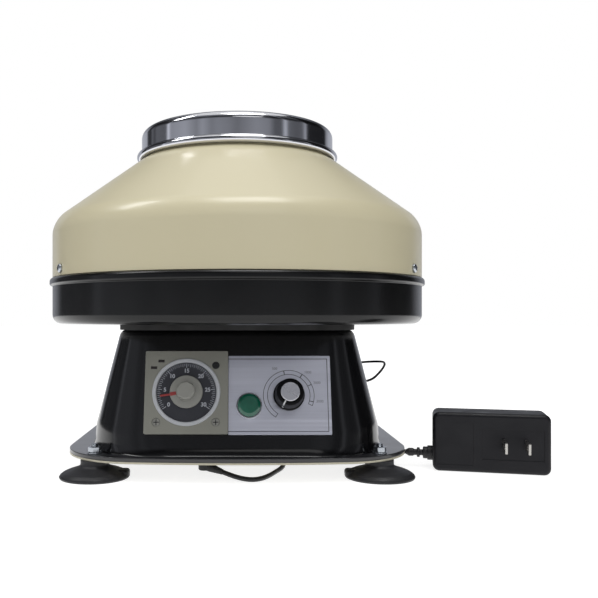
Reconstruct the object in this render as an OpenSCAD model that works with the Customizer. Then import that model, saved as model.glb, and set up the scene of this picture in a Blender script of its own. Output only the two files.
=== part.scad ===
// Bench centrifuge with a lift-off lid, a four-place angle rotor and a plug-in power adapter.
// The origin is on the rotor's axis at the table. The front, with the controls, faces -Y.

/* [Feet] */
// Height of a suction foot under the bottom plate
foot_h = 10.5; // [9:0.5:16]
// Radius of a foot's cup at the table
cup_r = 20.6; // [17:0.1:24]
// Height of the cup below its neck
cup_h = 6.6; // [5:0.1:7.5]
// Radius of a foot's neck
neck_r = 8.2; // [6:0.1:10]
// Distance of a foot from the middle, sideways
foot_x = 83.7; // [83.6:0.1:85]
// Distance of a foot from the middle, to the front or back
foot_y = 82.5; // [81.5:0.5:84]
// Diameter of a foot's stud
stud_d = 4; // [3:0.5:4.5]
// Width of a foot's nut across its flats
nut_af = 7; // [6.5:0.1:7.4]
// Height of a foot's nut
nut_h = 3.2; // [2.4:0.1:4]
// Radius of a foot's washer
washer_r = 4.2; // [3.9:0.1:4.3]
// Thickness of a foot's washer
washer_t = 0.8; // [0.5:0.1:1.2]

/* [Base] */
// Thickness of the bottom plate
bottom_plate_t = 1.2; // [1:0.1:3]
// Thickness of the base plate
base_plate_t = 2.4; // [2:0.1:5]
// Half the width of both plates
plate_half_w = 104; // [101:0.5:112]
// Half the depth of both plates
plate_half_d = 101; // [100.5:0.5:108]
// Radius of the plates' corners
plate_corner_r = 46; // [36:1:48]
// Radius of the slightly bowed front and back edges
plate_bow_r = 600; // [500:50:3000]
// Width of the base plate's rim inside the housing's side walls
base_rim_w = 14; // [12:0.5:16]
// Width of the rim inside the front and back walls
base_rim_d = 7.4; // [6:0.1:8]

/* [Housing] */
// Height of the housing
housing_h = 72; // [66:0.5:82]
// Half the width of the housing at the top of its fillet
skirt_half_w = 88.7; // [88:0.1:90]
// Height at which the side walls start to lean
skirt_h = 13.9; // [10:0.1:18]
// Half the width of the housing at that height
wall_half_w = 88; // [87:0.1:89]
// Half the depth of the housing at its bottom
wall_half_d = 97.9; // [96:0.1:98.5]
// Lean of the side walls
side_lean = 15.2; // [12:0.1:17]
// Lean of the front and back walls
front_lean = 15; // [12:0.5:17]
// Radius of the upright corners at the bottom
corner_low_r = 48; // [46:0.5:49]
// Radius of the upright corners at the top
corner_top_r = 26; // [20:0.5:32]
// Radius of the top shoulder
shoulder_r = 3.6; // [2:0.1:5]
// Wall of the housing
housing_t = 2; // [1.5:0.1:2.5]
// Thickness of the housing's top
housing_top_t = 2.5; // [2:0.1:4]
// Thickness of the housing's flange
flange_t = 1; // [0.8:0.1:1.4]
// Reach of the flange past the wall
flange_w = 1.5; // [1.2:0.1:1.6]
// Height of the fillet between flange and wall
fillet_h = 5.9; // [4:0.1:7]

/* [Bowl and cover] */
// Outer radius of the bowl and of the cover's skirt
bowl_r = 125; // [122:0.5:132]
// Sheet thickness of the bowl and the cover
sheet_t = 1.5; // [1:0.1:1.6]
// Height of the bowl from its floor to the cover's edge
bowl_h = 29.9; // [28:0.1:36]
// Radius of the bowl's lower corner
bowl_corner_r = 5.7; // [4:0.1:9]
// Radius of the rolled bead
bead_r = 2.6; // [2:0.1:3]
// How far the bead stands out of the wall
bead_out = 1.9; // [1.2:0.1:2.2]
// Height of the bowl's spigot inside the cover
spigot_h = 9.5; // [8:0.5:14]
// Height of the cover's skirt up to its sloped part
skirt_rise = 36.4; // [32:0.1:42]
// Radius of the cover's shoulder
cover_shoulder_r = 16; // [10:0.5:20]
// Rise of the cone
cone_rise = 43.35; // [40:0.05:48]
// Radius of the cone's upper edge
mouth_r = 66.6; // [65.8:0.1:68]
// Inner radius of the collar, which is the mouth of the chamber
collar_r = 62.4; // [61:0.1:62.8]
// Height of the collar above the cone's upper edge
collar_h = 16.6; // [10:0.1:17]
// Thickness of the rubber pad between bowl and housing
gasket_t = 3.6; // [2:0.1:5]
// Half the width of the rubber pad
gasket_half_w = 73; // [71:0.1:76]
// Radius of the bowl's middle hole
bowl_hole_r = 13; // [10:0.5:16]

/* [Lid] */
// Outer radius of the lid's wall
lid_r = 65.8; // [65.6:0.1:66.2]
// Height of the lid from its rolled rim's middle to its top
lid_h = 18.2; // [18:0.1:24]
// Radius of the lid's top edge
lid_edge_r = 5.4; // [3:0.1:7]
// Sheet thickness of the lid
lid_t = 1; // [0.8:0.1:1.1]
// Radius of the rolled rim's section
rim_r = 2.5; // [2:0.1:3]

/* [Timer] */
// Width and height of the timer's bezel
timer_size = 48; // [47:0.5:49]
// Place of the timer on the panel, sideways
timer_u = -29.3; // [-31:0.1:-29]
// Place of the timer on the panel, up the slope
timer_v = 37.2; // [36.5:0.1:39]
// Thickness of the bezel
bezel_t = 3.5; // [3:0.1:5]
// Width of the timer's body behind the panel
timer_body = 44.4; // [43:0.1:44.8]
// Length of the timer's body behind the panel
timer_depth = 50; // [40:1:52]
// Radius of the dark dial
dial_r = 17.3; // [16:0.1:18]
// Outer radius of the pale ring round the dial
dial_ring_r = 19.6; // [19:0.1:20]
// Radius of the timer's knob at its base
timer_knob_r = 9.5; // [8:0.1:10.5]
// Radius of the timer's knob at its front
timer_cap_r = 5.4; // [4:0.1:7]
// Height of the timer's knob
timer_knob_h = 6.6; // [5:0.1:9]

/* [Speed control and button] */
// Right-hand end of the face plate on the panel
plate_right_u = 54.2; // [53:0.1:55]
// Lower edge of the face plate on the panel
plate_low_v = 13; // [11:0.1:14]
// Height of the face plate
plate_v = 45.9; // [44:0.1:48]
// Thickness of the face plate
face_t = 1; // [0.6:0.1:1.4]
// Place of the speed knob on the panel, sideways
knob_u = 29.8; // [28:0.1:31]
// Place of the speed knob on the panel, up the slope
knob_v = 35.6; // [33:0.1:37]
// Radius of the speed knob's skirt
knob_r = 9; // [8:0.1:10]
// Radius of the speed knob's front
knob_front_r = 7.6; // [7:0.1:7.9]
// Height of the speed knob
knob_h = 13.6; // [10:0.1:16]
// Radius of the speed knob's metal cap
knob_cap_r = 5.4; // [4:0.1:6]
// Diameter of the control's shaft
pot_shaft_d = 6; // [5:0.1:6.4]
// Place of the start button on the panel, sideways
button_u = 6.9; // [6:0.1:8]
// Place of the start button on the panel, up the slope
button_v = 29.5; // [28:0.1:31]
// Radius of the start button
button_r = 6.6; // [6:0.1:7]
// Travel of the start button
button_travel = 1.5; // [1:0.1:2]

/* [Motor and rotor] */
// Radius of the motor's case
motor_r = 26; // [22:0.5:28]
// Length of the motor's case
motor_l = 48; // [40:0.5:50]
// Height of the rubber dampers
damper_h = 7.6; // [6:0.1:10]
// Radius of the rubber dampers
damper_r = 7; // [5.5:0.5:8]
// Thickness of the motor plate
motor_plate_t = 2; // [1.5:0.1:3]
// Radius of the motor's shaft
shaft_r = 3; // [2.5:0.1:4]
// Running clearance round the shaft
run_gap = 0.04; // [0.02:0.01:0.08]
// Number of tube shields
shield_count = 4; // [4]
// Angle of the tube shields from upright
shield_angle = 45; // [40:1:50]
// Radius from the axis to where a shield crosses the rotor head
shield_ring_r = 50; // [48:0.5:52]
// Height above the bowl's floor at which it crosses
shield_cross_h = 69; // [66:0.5:72]
// Outer radius of a tube shield
shield_r = 9; // [7:0.1:9.5]
// Wall of a tube shield
shield_t = 1; // [0.6:0.1:1.4]
// Length of a tube shield below the rotor head
shield_l = 80; // [60:1:82]
// Thickness of the rotor head's dish
dish_t = 5; // [4:0.1:6]

/* [Adapter and wires] */
// Length of the adapter's case
adapter_l = 68; // [60:1:90]
// Height of the adapter's case as it stands
adapter_h = 36; // [32:0.5:44]
// Thickness of the adapter's case
adapter_d = 26; // [22:0.5:34]
// Turn of the adapter on the table
adapter_turn = -13.9; // [-18:0.1:-10]
// Distance between the plug blades
blade_gap = 12.7; // [12.7]
// Width of a plug blade
blade_w = 6.35; // [6.35]
// Thickness of a plug blade
blade_t = 1.5; // [1.4:0.1:1.6]
// Length of a plug blade
blade_l = 16.5; // [16:0.1:18]
// Diameter of the adapter's cord
cord_d = 2.8; // [2:0.1:2.9]
// Distance between the turns of the coiled cord
coil_pitch = 3.6; // [3.55:0.05:3.7]
// Radius of the coil at the middle of its turns
coil_mid_r = 16.5; // [16:0.5:17]
// Turns in one layer of the coil
coil_turns = 5; // [3:1:5]
// Diameter of the thin wire at the side
side_wire_d = 1.6; // [1.2:0.1:2]

/* [Hidden] */
$fn = 96;

// Small allowances
touch = 0.1;
slide_gap = 0.2;
clear_gap = 0.3;
cut = 1;
thin = 0.02;

// Heights of the stack, from the table up
bottom_plate_z = foot_h;
base_z = bottom_plate_z + bottom_plate_t;
housing_z = base_z + base_plate_t;
gasket_z = housing_z + housing_h;
bowl_z = gasket_z + gasket_t;
floor_z = bowl_z + sheet_t;
joint_z = bowl_z + bowl_h;
cover_edge_z = joint_z + touch;
cone_low_z = joint_z + skirt_rise;
mouth_z = cone_low_z + cone_rise;

// Cover: slope of the cone and centre of its shoulder
cone_angle = atan2(cone_rise, bowl_r - mouth_r);
cone_normal = [sin(cone_angle), cos(cone_angle)];
cover_arc = [bowl_r - cover_shoulder_r,
    cone_low_z - cover_shoulder_r * (1 - cone_normal[0]) / cone_normal[1]];

// Lid: its rim rests on the cone
rim_c_r = mouth_r;
rim_z = mouth_z + (rim_r + clear_gap) / cone_normal[1];
lid_top_z = rim_z + lid_h;
collar_t = 1.3;

// Housing: half width, half depth and corner radius at a height above its bottom
shoulder_low_h = housing_h - shoulder_r;
function half_w(h) = h < skirt_h
    ? skirt_half_w + (wall_half_w - skirt_half_w) * (h - fillet_h) / (skirt_h - fillet_h)
    : wall_half_w - (h - skirt_h) * tan(side_lean);
function half_d(h) = wall_half_d - h * tan(front_lean);
function corner_r(h) = corner_low_r
    + (corner_top_r - corner_low_r) * (h - fillet_h) / (shoulder_low_h - fillet_h);

// Fasteners
screw_r = 2;
screw_hole_r = screw_r + slide_gap;
bowl_screw_xy = 42;
small_screw_r = 1.5;
base_screw_x = 80;
base_screw_y = 30;
lug_r = 5;
lug_h = 8;
cover_screw_turns = [-30, -150, 90];
cover_screw_z = cover_edge_z + 4.2;
cover_screw_head = [2.8, 2];
cover_screw_l = 6;
cover_screw_cross = [3.2, 0.6, 1.6];

// Motor and rotor
housing_ceiling_z = gasket_z - housing_top_t;
motor_plate_z = housing_ceiling_z - damper_h - motor_plate_t;
motor_z = motor_plate_z - motor_l;
motor_plate_half = 52;
motor_wall = 3.4;
boss_r = 10;
boss_h = 6;
bearing_r = 8;
bearing_t = 5;
head_low_z = floor_z + 36;
head_web_z = floor_z + 46;
hub_r = 12;
hub_h = 20;
hub_top_z = head_low_z + hub_h;
rotor_nut_h = 11;
shaft_top_z = hub_top_z + rotor_nut_h - 2;
shield_cross_z = floor_z + shield_cross_h;
dish_in = 26;
dish_out = 14;
shield_collar_r = shield_r + 2.5;
shield_collar_t = 3;
// The dish curves up at the sides of a flat collar
shield_seat = dish_t / 2 + 1.1;

// Panel parts
panel_back = -housing_t * cos(front_lean);
timer_hole = timer_body + 0.8;
timer_clamp_w = timer_size + 1;
timer_clamp_gap = 1.9;
timer_clamp_d = 8;
dial_drop = 1.2;
dial_t = 0.8;
dial_w = bezel_t - dial_drop + dial_t;
ring_up = 0.8;
timer_shaft_r = 3;
timer_knob_w = dial_w + clear_gap;
pointer_turn = -99;
selector_r = 2.3;
selector_uv = [17, -17.3];
unit_selector_r = 2.1;
unit_selector_uv = [16.9, 15.6];
lamp_uv = [[-14.7, 18.1], [-18.9, 14.2]];
lamp_size = [3.6, 1.6];
plate_left_u = timer_u + timer_size / 2 + slide_gap;
bushing_r = 3.5;
pot_r = 8;
pot_d = 9;
knob_w = face_t + 0.5;
knob_skirt_t = 3;
knob_turn = -152;
knob_bore_w = knob_w + 9;
button_ring_r = button_r + 0.8;
button_barrel_r = button_r - 0.6;
button_ring_t = 2;
button_w = face_t + button_travel + touch;
button_t = 3;
plunger_r = 2.8;
plunger_l = 9;

// Side wall fittings
connector_y = -30;
connector_h = 37;
grommet_y = 42;
grommet_h = 45;
connector_r = 4.5;
connector_hole_r = 3.6;
grommet_r = 3.4;
grommet_hole_r = 2.6;

// Circuit board, its two capacitors, heat sink and terminal block
board_size = [96, 40];
board_y = 60;
board_t = 1.6;
board_z = base_z + 6;
board_hole_in = 5;
board_hole_r = 1.6;
spacer_r = 3;
capacitor_r = 8;
capacitor_h = 25;
capacitor_at = [[-28, 3, 0], [-8, 3, 0]];
heat_sink_size = [30, 4, 22];
heat_sink_at = [8, -2, 0];
terminal_size = [16, 7, 11];
terminal_at = [14, 8, 0];

// Power socket and plug
jack_x = -19;
jack_y = -82;
jack_r = 5;
jack_h = 12;
barrel_r = 2.75;
barrel_l = 9;
plug_r = 3.8;
plug_low_z = 4.2;

// Adapter: lower left front corner, and its cord outlet
adapter_x = 119.3;
adapter_y = -65.2;
adapter_edge_r = 4;
adapter_corner_r = 2.5;
outlet_h = 8.9;
blade_x = 47.4;
blade_hole_r = 1.6;
relief_l = 16.2;

// Route of the thin side wire, from its connector to its grommet
side_wire_route = [[83.1, -30, 51.5], [86, -30, 52.2], [89, -28.6, 53.2], [92.5, -24.5, 55],
    [97.7, -16, 58.4], [101.2, -7.5, 61.2], [102, 1, 62.4], [99.8, 9, 62.3], [95, 18, 61.6], [90, 27, 60.6],
    [86.6, 34, 60], [84.6, 38.8, 59.9], [82.2, 41.6, 59.8], [79.9, 42, 59.2]];

// Route of the adapter's cord, from the plug to the coil, and from the coil to the adapter
cord_front_route = [[-8, -88.2, 4], [-5.4, -89.7, 3.3], [-1, -92.2, 2.3], [4, -94.6, 1.6], [9, -95.6, 1.4],
    [14, -92.4, 1.4], [18.5, -85, 1.4], [23, -74, 1.4], [27, -63, 1.4], [29, -52, 1.4], [28, -38, 1.5],
    [23.5, -24, 2.2], [18, -11, 3.7], [15, -1, 4.8], [14.5, 6.4, 5], [14.5, 9.2, 5]];
cord_rear_route = [[65.5, 9.2, 1.4], [65.5, 6.4, 1.4], [65.6, -2, 1.4], [67.5, -13, 1.4], [72, -24, 1.4],
    [78.5, -33, 1.6], [86.5, -39.6, 3.2], [94.5, -43.8, 6], [100, -46.1, 8.1], [103.8, -47.9, 8.9],
    [106.7, -48.7, 8.9]];
coil_c = [40, 12, 1.4];
coil_steps = 24;

function unit(v) = v / norm(v);

// Point at the share t between route points i and i + 1, on a smooth curve through all of them
function curve_at(p, i, t) =
    let (a = p[max(i - 1, 0)], b = p[i], c = p[i + 1], d = p[min(i + 2, len(p) - 1)])
    0.5 * (2 * b + (c - a) * t + (2 * a - 5 * b + 4 * c - d) * t * t + (3 * b - a - 3 * c + d) * t * t * t);

function smooth_route(p, n) =
    concat([for (i = [0 : len(p) - 2]) for (k = [0 : n - 1]) curve_at(p, i, k / n)], [p[len(p) - 1]]);

function heading(p, i) = unit(p[min(i + 1, len(p) - 1)] - p[max(i - 1, 0)]);

function tube_ring(p, i, r, sides) =
    let (t = heading(p, i), a = unit(cross(t, [0, 0, 1])), b = cross(a, t))
    [for (k = [0 : sides - 1]) p[i] + r * (cos(360 * k / sides) * a + sin(360 * k / sides) * b)];

module tube(p, r, sides) {
    n = len(p);
    last = (n - 1) * sides;
    side_faces = [for (i = [0 : n - 2]) for (k = [0 : sides - 1])
        let (a = i * sides + k, b = i * sides + (k + 1) % sides)
        each [[a, a + sides, b], [b, a + sides, b + sides]]];
    end_faces = [for (k = [1 : sides - 2])
        each [[0, k, k + 1], [last, last + k + 1, last + k]]];
    polyhedron(points = [for (i = [0 : n - 1]) each tube_ring(p, i, r, sides)],
        faces = concat(side_faces, end_faces), convexity = 10);
}

// The coil winds inwards on the table, climbs in half a turn, and winds outwards on top
coil_rise = coil_pitch;
coil_in_r = coil_mid_r - coil_pitch * coil_turns / 2;
coil_out_r = coil_mid_r + coil_pitch * coil_turns / 2;
coil_all_turns = 2 * coil_turns + 0.5;
function coil_radius(s) = s < coil_turns
    ? coil_out_r - coil_pitch * s
    : s < coil_turns + 0.5 ? coil_in_r : coil_in_r + coil_pitch * (s - coil_turns - 0.5);
function coil_lift(s) = coil_rise * min(1, max(0, (s - coil_turns) * 2));
function coil_at(s) = coil_c + [coil_radius(s) * cos(360 * s), coil_radius(s) * sin(360 * s), coil_lift(s)];
coil_count = round(coil_all_turns * coil_steps);
coil_turning = [for (i = [0 : coil_count]) coil_at(coil_all_turns * i / coil_count)];
coil_start = coil_c + [coil_out_r, -cord_d, 0];
coil_end = coil_c + [-coil_out_r, -cord_d, coil_rise];
coil_path = concat([coil_start], coil_turning, [coil_end]);
coil_gap = min([for (i = [0 : coil_count]) for (j = [i + 10 : 1 : coil_count])
    norm(coil_turning[i] - coil_turning[j])]) - cord_d;
echo(coil_least_gap_mm = coil_gap);

module on_panel(u, v, w = 0)
    translate([0, -wall_half_d, housing_z]) rotate([90 - front_lean, 0, 0]) translate([u, v, w]) children();

// Turned about the panel's outward normal, clockwise as seen from the front
module clockwise(turn) rotate([0, 0, -turn]) children();

module on_side(y, h)
    translate([half_w(h), y, housing_z + h]) rotate([0, 90 - side_lean, 0]) children();

module at_cover_screws()
    for (turn = cover_screw_turns) rotate(turn)
        translate([bowl_r, 0, cover_screw_z]) rotate([0, 90, 0]) children();

module on_adapter(x, y, z)
    translate([adapter_x, adapter_y, 0]) rotate([0, 0, adapter_turn]) translate([x, y, z]) children();

module at_feet() for (x = [-foot_x, foot_x]) for (y = [-foot_y, foot_y]) translate([x, y, 0]) children();

module at_corners(x, y) for (i = [-1, 1]) for (j = [-1, 1]) translate([i * x, j * y, 0]) children();

module rounded(hw, hd, r) {
    square([2 * hw, 2 * (hd - r)], center = true);
    square([2 * (hw - r), 2 * hd], center = true);
    at_corners(hw - r, hd - r) circle(r);
}

// Outline of both plates: straight sides, bowed front and back, large round corners
module plate_outline() {
    corner_x = plate_half_w - plate_corner_r;
    bow_c = plate_bow_r - plate_half_d;
    corner_y = sqrt(pow(plate_bow_r - plate_corner_r, 2) - pow(corner_x, 2)) - bow_c;
    end_x = corner_x * plate_bow_r / (plate_bow_r - plate_corner_r);
    square([2 * plate_half_w, 2 * corner_y], center = true);
    at_corners(corner_x, corner_y) circle(plate_corner_r);
    for (turn = [0, 180]) rotate(turn) intersection() {
        translate([0, bow_c]) circle(plate_bow_r, $fn = 720);
        translate([-end_x, -plate_half_d - cut]) square([2 * end_x, plate_half_d + cut]);
    }
}

module wall_bore(r) cylinder(r = r + slide_gap, h = 4 * housing_t, center = true);

module slab(h, grow = 0)
    translate([0, 0, h]) linear_extrude(thin)
        rounded(half_w(h) + grow, half_d(h) + grow, corner_r(h) + grow, $fn = 64);

// Profile of a round pan or cap from the axis out, with one rounded outer edge at the top
module capped(r, low, top, edge) {
    translate([0, low]) square([r, top - edge - low]);
    square_top = top - edge;
    translate([0, square_top - thin]) square([r - edge, edge + thin]);
    translate([r - edge, square_top]) circle(edge);
}

module pan_head(r, t) {
    cylinder(r = r, h = t * 0.55);
    translate([0, 0, t * 0.55]) cylinder(r1 = r, r2 = r * 0.72, h = t * 0.45, $fn = 48);
}

module bottom_plate() color("wheat") difference() {
    translate([0, 0, bottom_plate_z]) linear_extrude(bottom_plate_t) plate_outline();
    at_feet() translate([0, 0, bottom_plate_z - cut])
        cylinder(r = stud_d / 2 + slide_gap, h = bottom_plate_t + 2 * cut);
    at_corners(base_screw_x, base_screw_y) translate([0, 0, bottom_plate_z - cut])
        cylinder(r = small_screw_r + slide_gap, h = bottom_plate_t + 2 * cut);
    translate([jack_x, jack_y, bottom_plate_z - cut])
        cylinder(r = jack_r + slide_gap, h = bottom_plate_t + 2 * cut);
}

module base_plate() color([0.13, 0.13, 0.14]) difference() {
    translate([0, 0, base_z]) linear_extrude(base_plate_t) plate_outline();
    translate([0, 0, base_z - cut]) linear_extrude(base_plate_t + 2 * cut)
        rounded(wall_half_w - base_rim_w, wall_half_d - base_rim_d, corner_low_r - base_rim_w);
    at_feet() translate([0, 0, base_z - cut])
        cylinder(r = stud_d / 2 + slide_gap, h = base_plate_t + 2 * cut);
    at_corners(base_screw_x, base_screw_y) translate([0, 0, base_z - cut])
        cylinder(r = small_screw_r + slide_gap, h = base_plate_t + 2 * cut);
}

// One tapered solid between two heights; the inner one starts below the flange
module housing_block(grow, low, high) hull() {
    slab(low, grow);
    slab(skirt_h, grow);
    slab(min(high, shoulder_low_h), grow);
    slab(high, grow - max(0, high - shoulder_low_h) * 0.75);
    if (high > shoulder_low_h) slab(high - shoulder_r * 0.36, grow - shoulder_r * 0.26);
}

module housing() color([0.05, 0.05, 0.06]) difference() {
    translate([0, 0, housing_z]) {
        difference() {
            union() {
                linear_extrude(flange_t)
                    rounded(skirt_half_w + flange_w, wall_half_d + flange_w, corner_low_r + flange_w);
                hull() {
                    slab(flange_t - thin, flange_w * 0.75);
                    slab(fillet_h, 0);
                }
                housing_block(0, fillet_h, housing_h - thin);
            }
            translate([0, 0, -cut]) linear_extrude(fillet_h + 2 * cut)
                rounded(skirt_half_w - housing_t, half_d(fillet_h) - housing_t, corner_low_r - housing_t);
            housing_block(-housing_t, fillet_h, housing_h - housing_top_t - thin);
        }
        at_corners(base_screw_x, base_screw_y) cylinder(r = lug_r, h = lug_h);
        for (i = [-1, 1]) for (j = [-1, 1])
            translate([i * (base_screw_x + lug_r * 0.75), j * base_screw_y, lug_h / 2])
                cube([lug_r * 1.5, lug_r, lug_h], center = true);
    }
    on_panel(timer_u, timer_v) cube([timer_hole, timer_hole, 4 * housing_t], center = true);
    on_panel(knob_u, knob_v) wall_bore(bushing_r);
    on_panel(button_u, button_v) wall_bore(button_barrel_r);
    on_side(connector_y, connector_h) wall_bore(connector_hole_r);
    on_side(grommet_y, grommet_h) wall_bore(grommet_hole_r);
    translate([0, 0, housing_ceiling_z - cut]) cylinder(r = bowl_hole_r + cut, h = housing_top_t + 2 * cut);
    at_corners(bowl_screw_xy, bowl_screw_xy) translate([0, 0, housing_ceiling_z - cut])
        cylinder(r = screw_hole_r, h = housing_top_t + 2 * cut);
    at_corners(base_screw_x, base_screw_y) translate([0, 0, housing_z - cut])
        cylinder(r = small_screw_r + touch, h = lug_h);
}

module bowl_gasket() color([0.1, 0.1, 0.1]) translate([0, 0, gasket_z])
    linear_extrude(gasket_t) difference() {
    rounded(gasket_half_w, half_d(housing_h) + 1, corner_top_r);
    circle(bowl_hole_r + cut);
    at_corners(bowl_screw_xy, bowl_screw_xy) circle(screw_hole_r);
}

module bowl() color([0.07, 0.07, 0.08]) difference() {
    rotate_extrude() {
        difference() {
            mirror([0, 1]) capped(bowl_r, -joint_z + bead_r, -bowl_z, bowl_corner_r);
            mirror([0, 1]) capped(bowl_r - sheet_t, -joint_z, -floor_z, bowl_corner_r - sheet_t);
            translate([0, bowl_z - cut]) square([bowl_hole_r, sheet_t + 2 * cut]);
        }
        translate([bowl_r + bead_out - bead_r, joint_z - bead_r]) circle(bead_r);
        translate([bowl_r - 2 * sheet_t - slide_gap, joint_z - bead_r])
            square([sheet_t, bead_r + spigot_h]);
        translate([bowl_hole_r, bowl_z]) square([sheet_t, sheet_t + 5]);
    }
    at_corners(bowl_screw_xy, bowl_screw_xy) translate([0, 0, bowl_z - cut])
        cylinder(r = screw_hole_r, h = sheet_t + 2 * cut);
    at_cover_screws() translate([0, 0, -4 * sheet_t]) cylinder(r = small_screw_r + touch, h = 3 * sheet_t);
}

module cover_region(t) {
    arc_r = cover_shoulder_r - t;
    cone_top = [mouth_r, mouth_z] - t * cone_normal;
    flat_z = mouth_z - t;
    cone_end = [cone_top[0] + (cone_top[1] - flat_z) / tan(cone_angle), flat_z];
    translate([0, cover_edge_z - t]) square([bowl_r - t, cover_arc[1] - cover_edge_z + t]);
    translate(cover_arc) circle(arc_r);
    polygon([[0, cover_arc[1] - thin], [cover_arc[0], cover_arc[1] - thin],
        cover_arc + arc_r * cone_normal, cone_end, [0, flat_z]]);
}

module top_cover() color([0.93, 0.88, 0.72]) difference() {
    rotate_extrude() difference() {
        union() {
            cover_region(0);
            translate([collar_r, mouth_z - sheet_t]) square([collar_t, collar_h + sheet_t]);
        }
        cover_region(sheet_t);
        translate([0, mouth_z - 2 * sheet_t]) square([collar_r, collar_h]);
    }
    at_cover_screws() translate([0, 0, -2 * sheet_t])
        cylinder(r = small_screw_r + slide_gap, h = 4 * sheet_t);
}

module cover_screws() color("silver") at_cover_screws() {
    translate([0, 0, touch / 2]) difference() {
        pan_head(cover_screw_head[0], cover_screw_head[1]);
        for (slot = [0, 90]) rotate(slot)
            translate([0, 0, cover_screw_head[1]]) cube(cover_screw_cross, center = true);
    }
    translate([0, 0, -cover_screw_l]) cylinder(r = small_screw_r, h = cover_screw_l + slide_gap);
}

module bowl_screws() color("silver") at_corners(bowl_screw_xy, bowl_screw_xy) {
    translate([0, 0, floor_z]) pan_head(3.8, 2.4);
    translate([0, 0, motor_plate_z - nut_h - 2])
        cylinder(r = screw_r, h = floor_z + touch - motor_plate_z + nut_h + 2);
    translate([0, 0, motor_plate_z - nut_h]) difference() {
        cylinder(r = nut_af / sqrt(3), h = nut_h, $fn = 6);
        translate([0, 0, -cut]) cylinder(r = screw_r - touch, h = nut_h + 2 * cut);
    }
}

module base_screws() color("silver") at_corners(base_screw_x, base_screw_y) {
    translate([0, 0, bottom_plate_z]) mirror([0, 0, 1]) pan_head(2.8, 1.8);
    translate([0, 0, bottom_plate_z - touch])
        cylinder(r = small_screw_r, h = bottom_plate_t + base_plate_t + lug_h - 2);
}

module lid_cap() color([0.75, 0.76, 0.78]) rotate_extrude() {
    difference() {
        capped(lid_r, rim_z, lid_top_z, lid_edge_r);
        translate([0, -thin]) capped(lid_r - lid_t, rim_z - cut, lid_top_z - lid_t, lid_edge_r - lid_t);
    }
    translate([rim_c_r, rim_z]) circle(rim_r);
}

// side is 1 where the pull tab points to +X
module foot(x, y, side) color([0.09, 0.09, 0.1]) translate([x, y, 0]) difference() {
    union() {
        rotate_extrude() {
            polygon([[0, 0], [cup_r - 0.6, 0], [cup_r, 1], [cup_r * 0.965, 2.2], [cup_r * 0.88, 3.5],
                [cup_r * 0.74, 4.8], [neck_r + 1.2, cup_h], [neck_r, cup_h + 1],
                [neck_r, foot_h], [0, foot_h]]);
        }
        translate([side * cup_r * 0.84, 0, 2.6]) cube([cup_r * 0.28, 8, 5.2], center = true);
    }
    translate([0, 0, -thin]) cylinder(r1 = cup_r * 0.86, r2 = cup_r * 0.3, h = 2.6);
    translate([0, 0, cup_h]) cylinder(r = stud_d / 2 + touch, h = foot_h);
}

module foot_studs() color("silver") at_feet()
    translate([0, 0, cup_h + touch])
        cylinder(r = stud_d / 2, h = housing_z - cup_h + washer_t + nut_h + 1.8);

module foot_nuts() color("silver") at_feet() translate([0, 0, housing_z]) difference() {
    union() {
        cylinder(r = washer_r, h = washer_t);
        translate([0, 0, washer_t + thin]) cylinder(r = nut_af / sqrt(3), h = nut_h, $fn = 6);
    }
    translate([0, 0, washer_t]) cylinder(r = washer_r, h = thin);
    translate([0, 0, -cut]) cylinder(r = stud_d / 2 + touch, h = washer_t + nut_h + 2 * cut);
}

module motor_plate() color("gray") translate([0, 0, motor_plate_z])
    linear_extrude(motor_plate_t) difference() {
    rounded(motor_plate_half, motor_plate_half, 8);
    circle(boss_r + slide_gap);
    at_corners(bowl_screw_xy, bowl_screw_xy) circle(screw_hole_r);
}

module motor_dampers() color([0.15, 0.15, 0.15]) at_corners(bowl_screw_xy, bowl_screw_xy)
    translate([0, 0, motor_plate_z + motor_plate_t]) linear_extrude(damper_h) difference() {
        circle(damper_r);
        circle(screw_hole_r);
    }

module motor_case() color([0.5, 0.5, 0.52]) difference() {
    union() {
        translate([0, 0, motor_z]) cylinder(r = motor_r, h = motor_l);
        translate([0, 0, motor_plate_z - thin]) cylinder(r = boss_r, h = boss_h);
    }
    translate([0, 0, motor_z + motor_wall])
        cylinder(r = motor_r - motor_wall, h = motor_l - 2 * motor_wall);
    translate([0, 0, motor_z - cut]) cylinder(r = bearing_r + touch, h = motor_l + boss_h + 2 * cut);
}

module motor_bearings() color("silver") for (z = [motor_z, motor_plate_z + boss_h - bearing_t])
    translate([0, 0, z]) linear_extrude(bearing_t) difference() {
        circle(bearing_r);
        circle(shaft_r + run_gap);
    }

module motor_armature() color([0.45, 0.3, 0.2]) {
    end_room = motor_wall + bearing_t;
    translate([0, 0, motor_z + end_room]) linear_extrude(motor_l - 2 * end_room) difference() {
        circle(motor_r - motor_wall - 0.8);
        circle(shaft_r + thin);
    }
}

module motor_shaft() color("silver")
    translate([0, 0, motor_z + 1]) cylinder(r = shaft_r, h = shaft_top_z - motor_z - 1);

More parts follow.
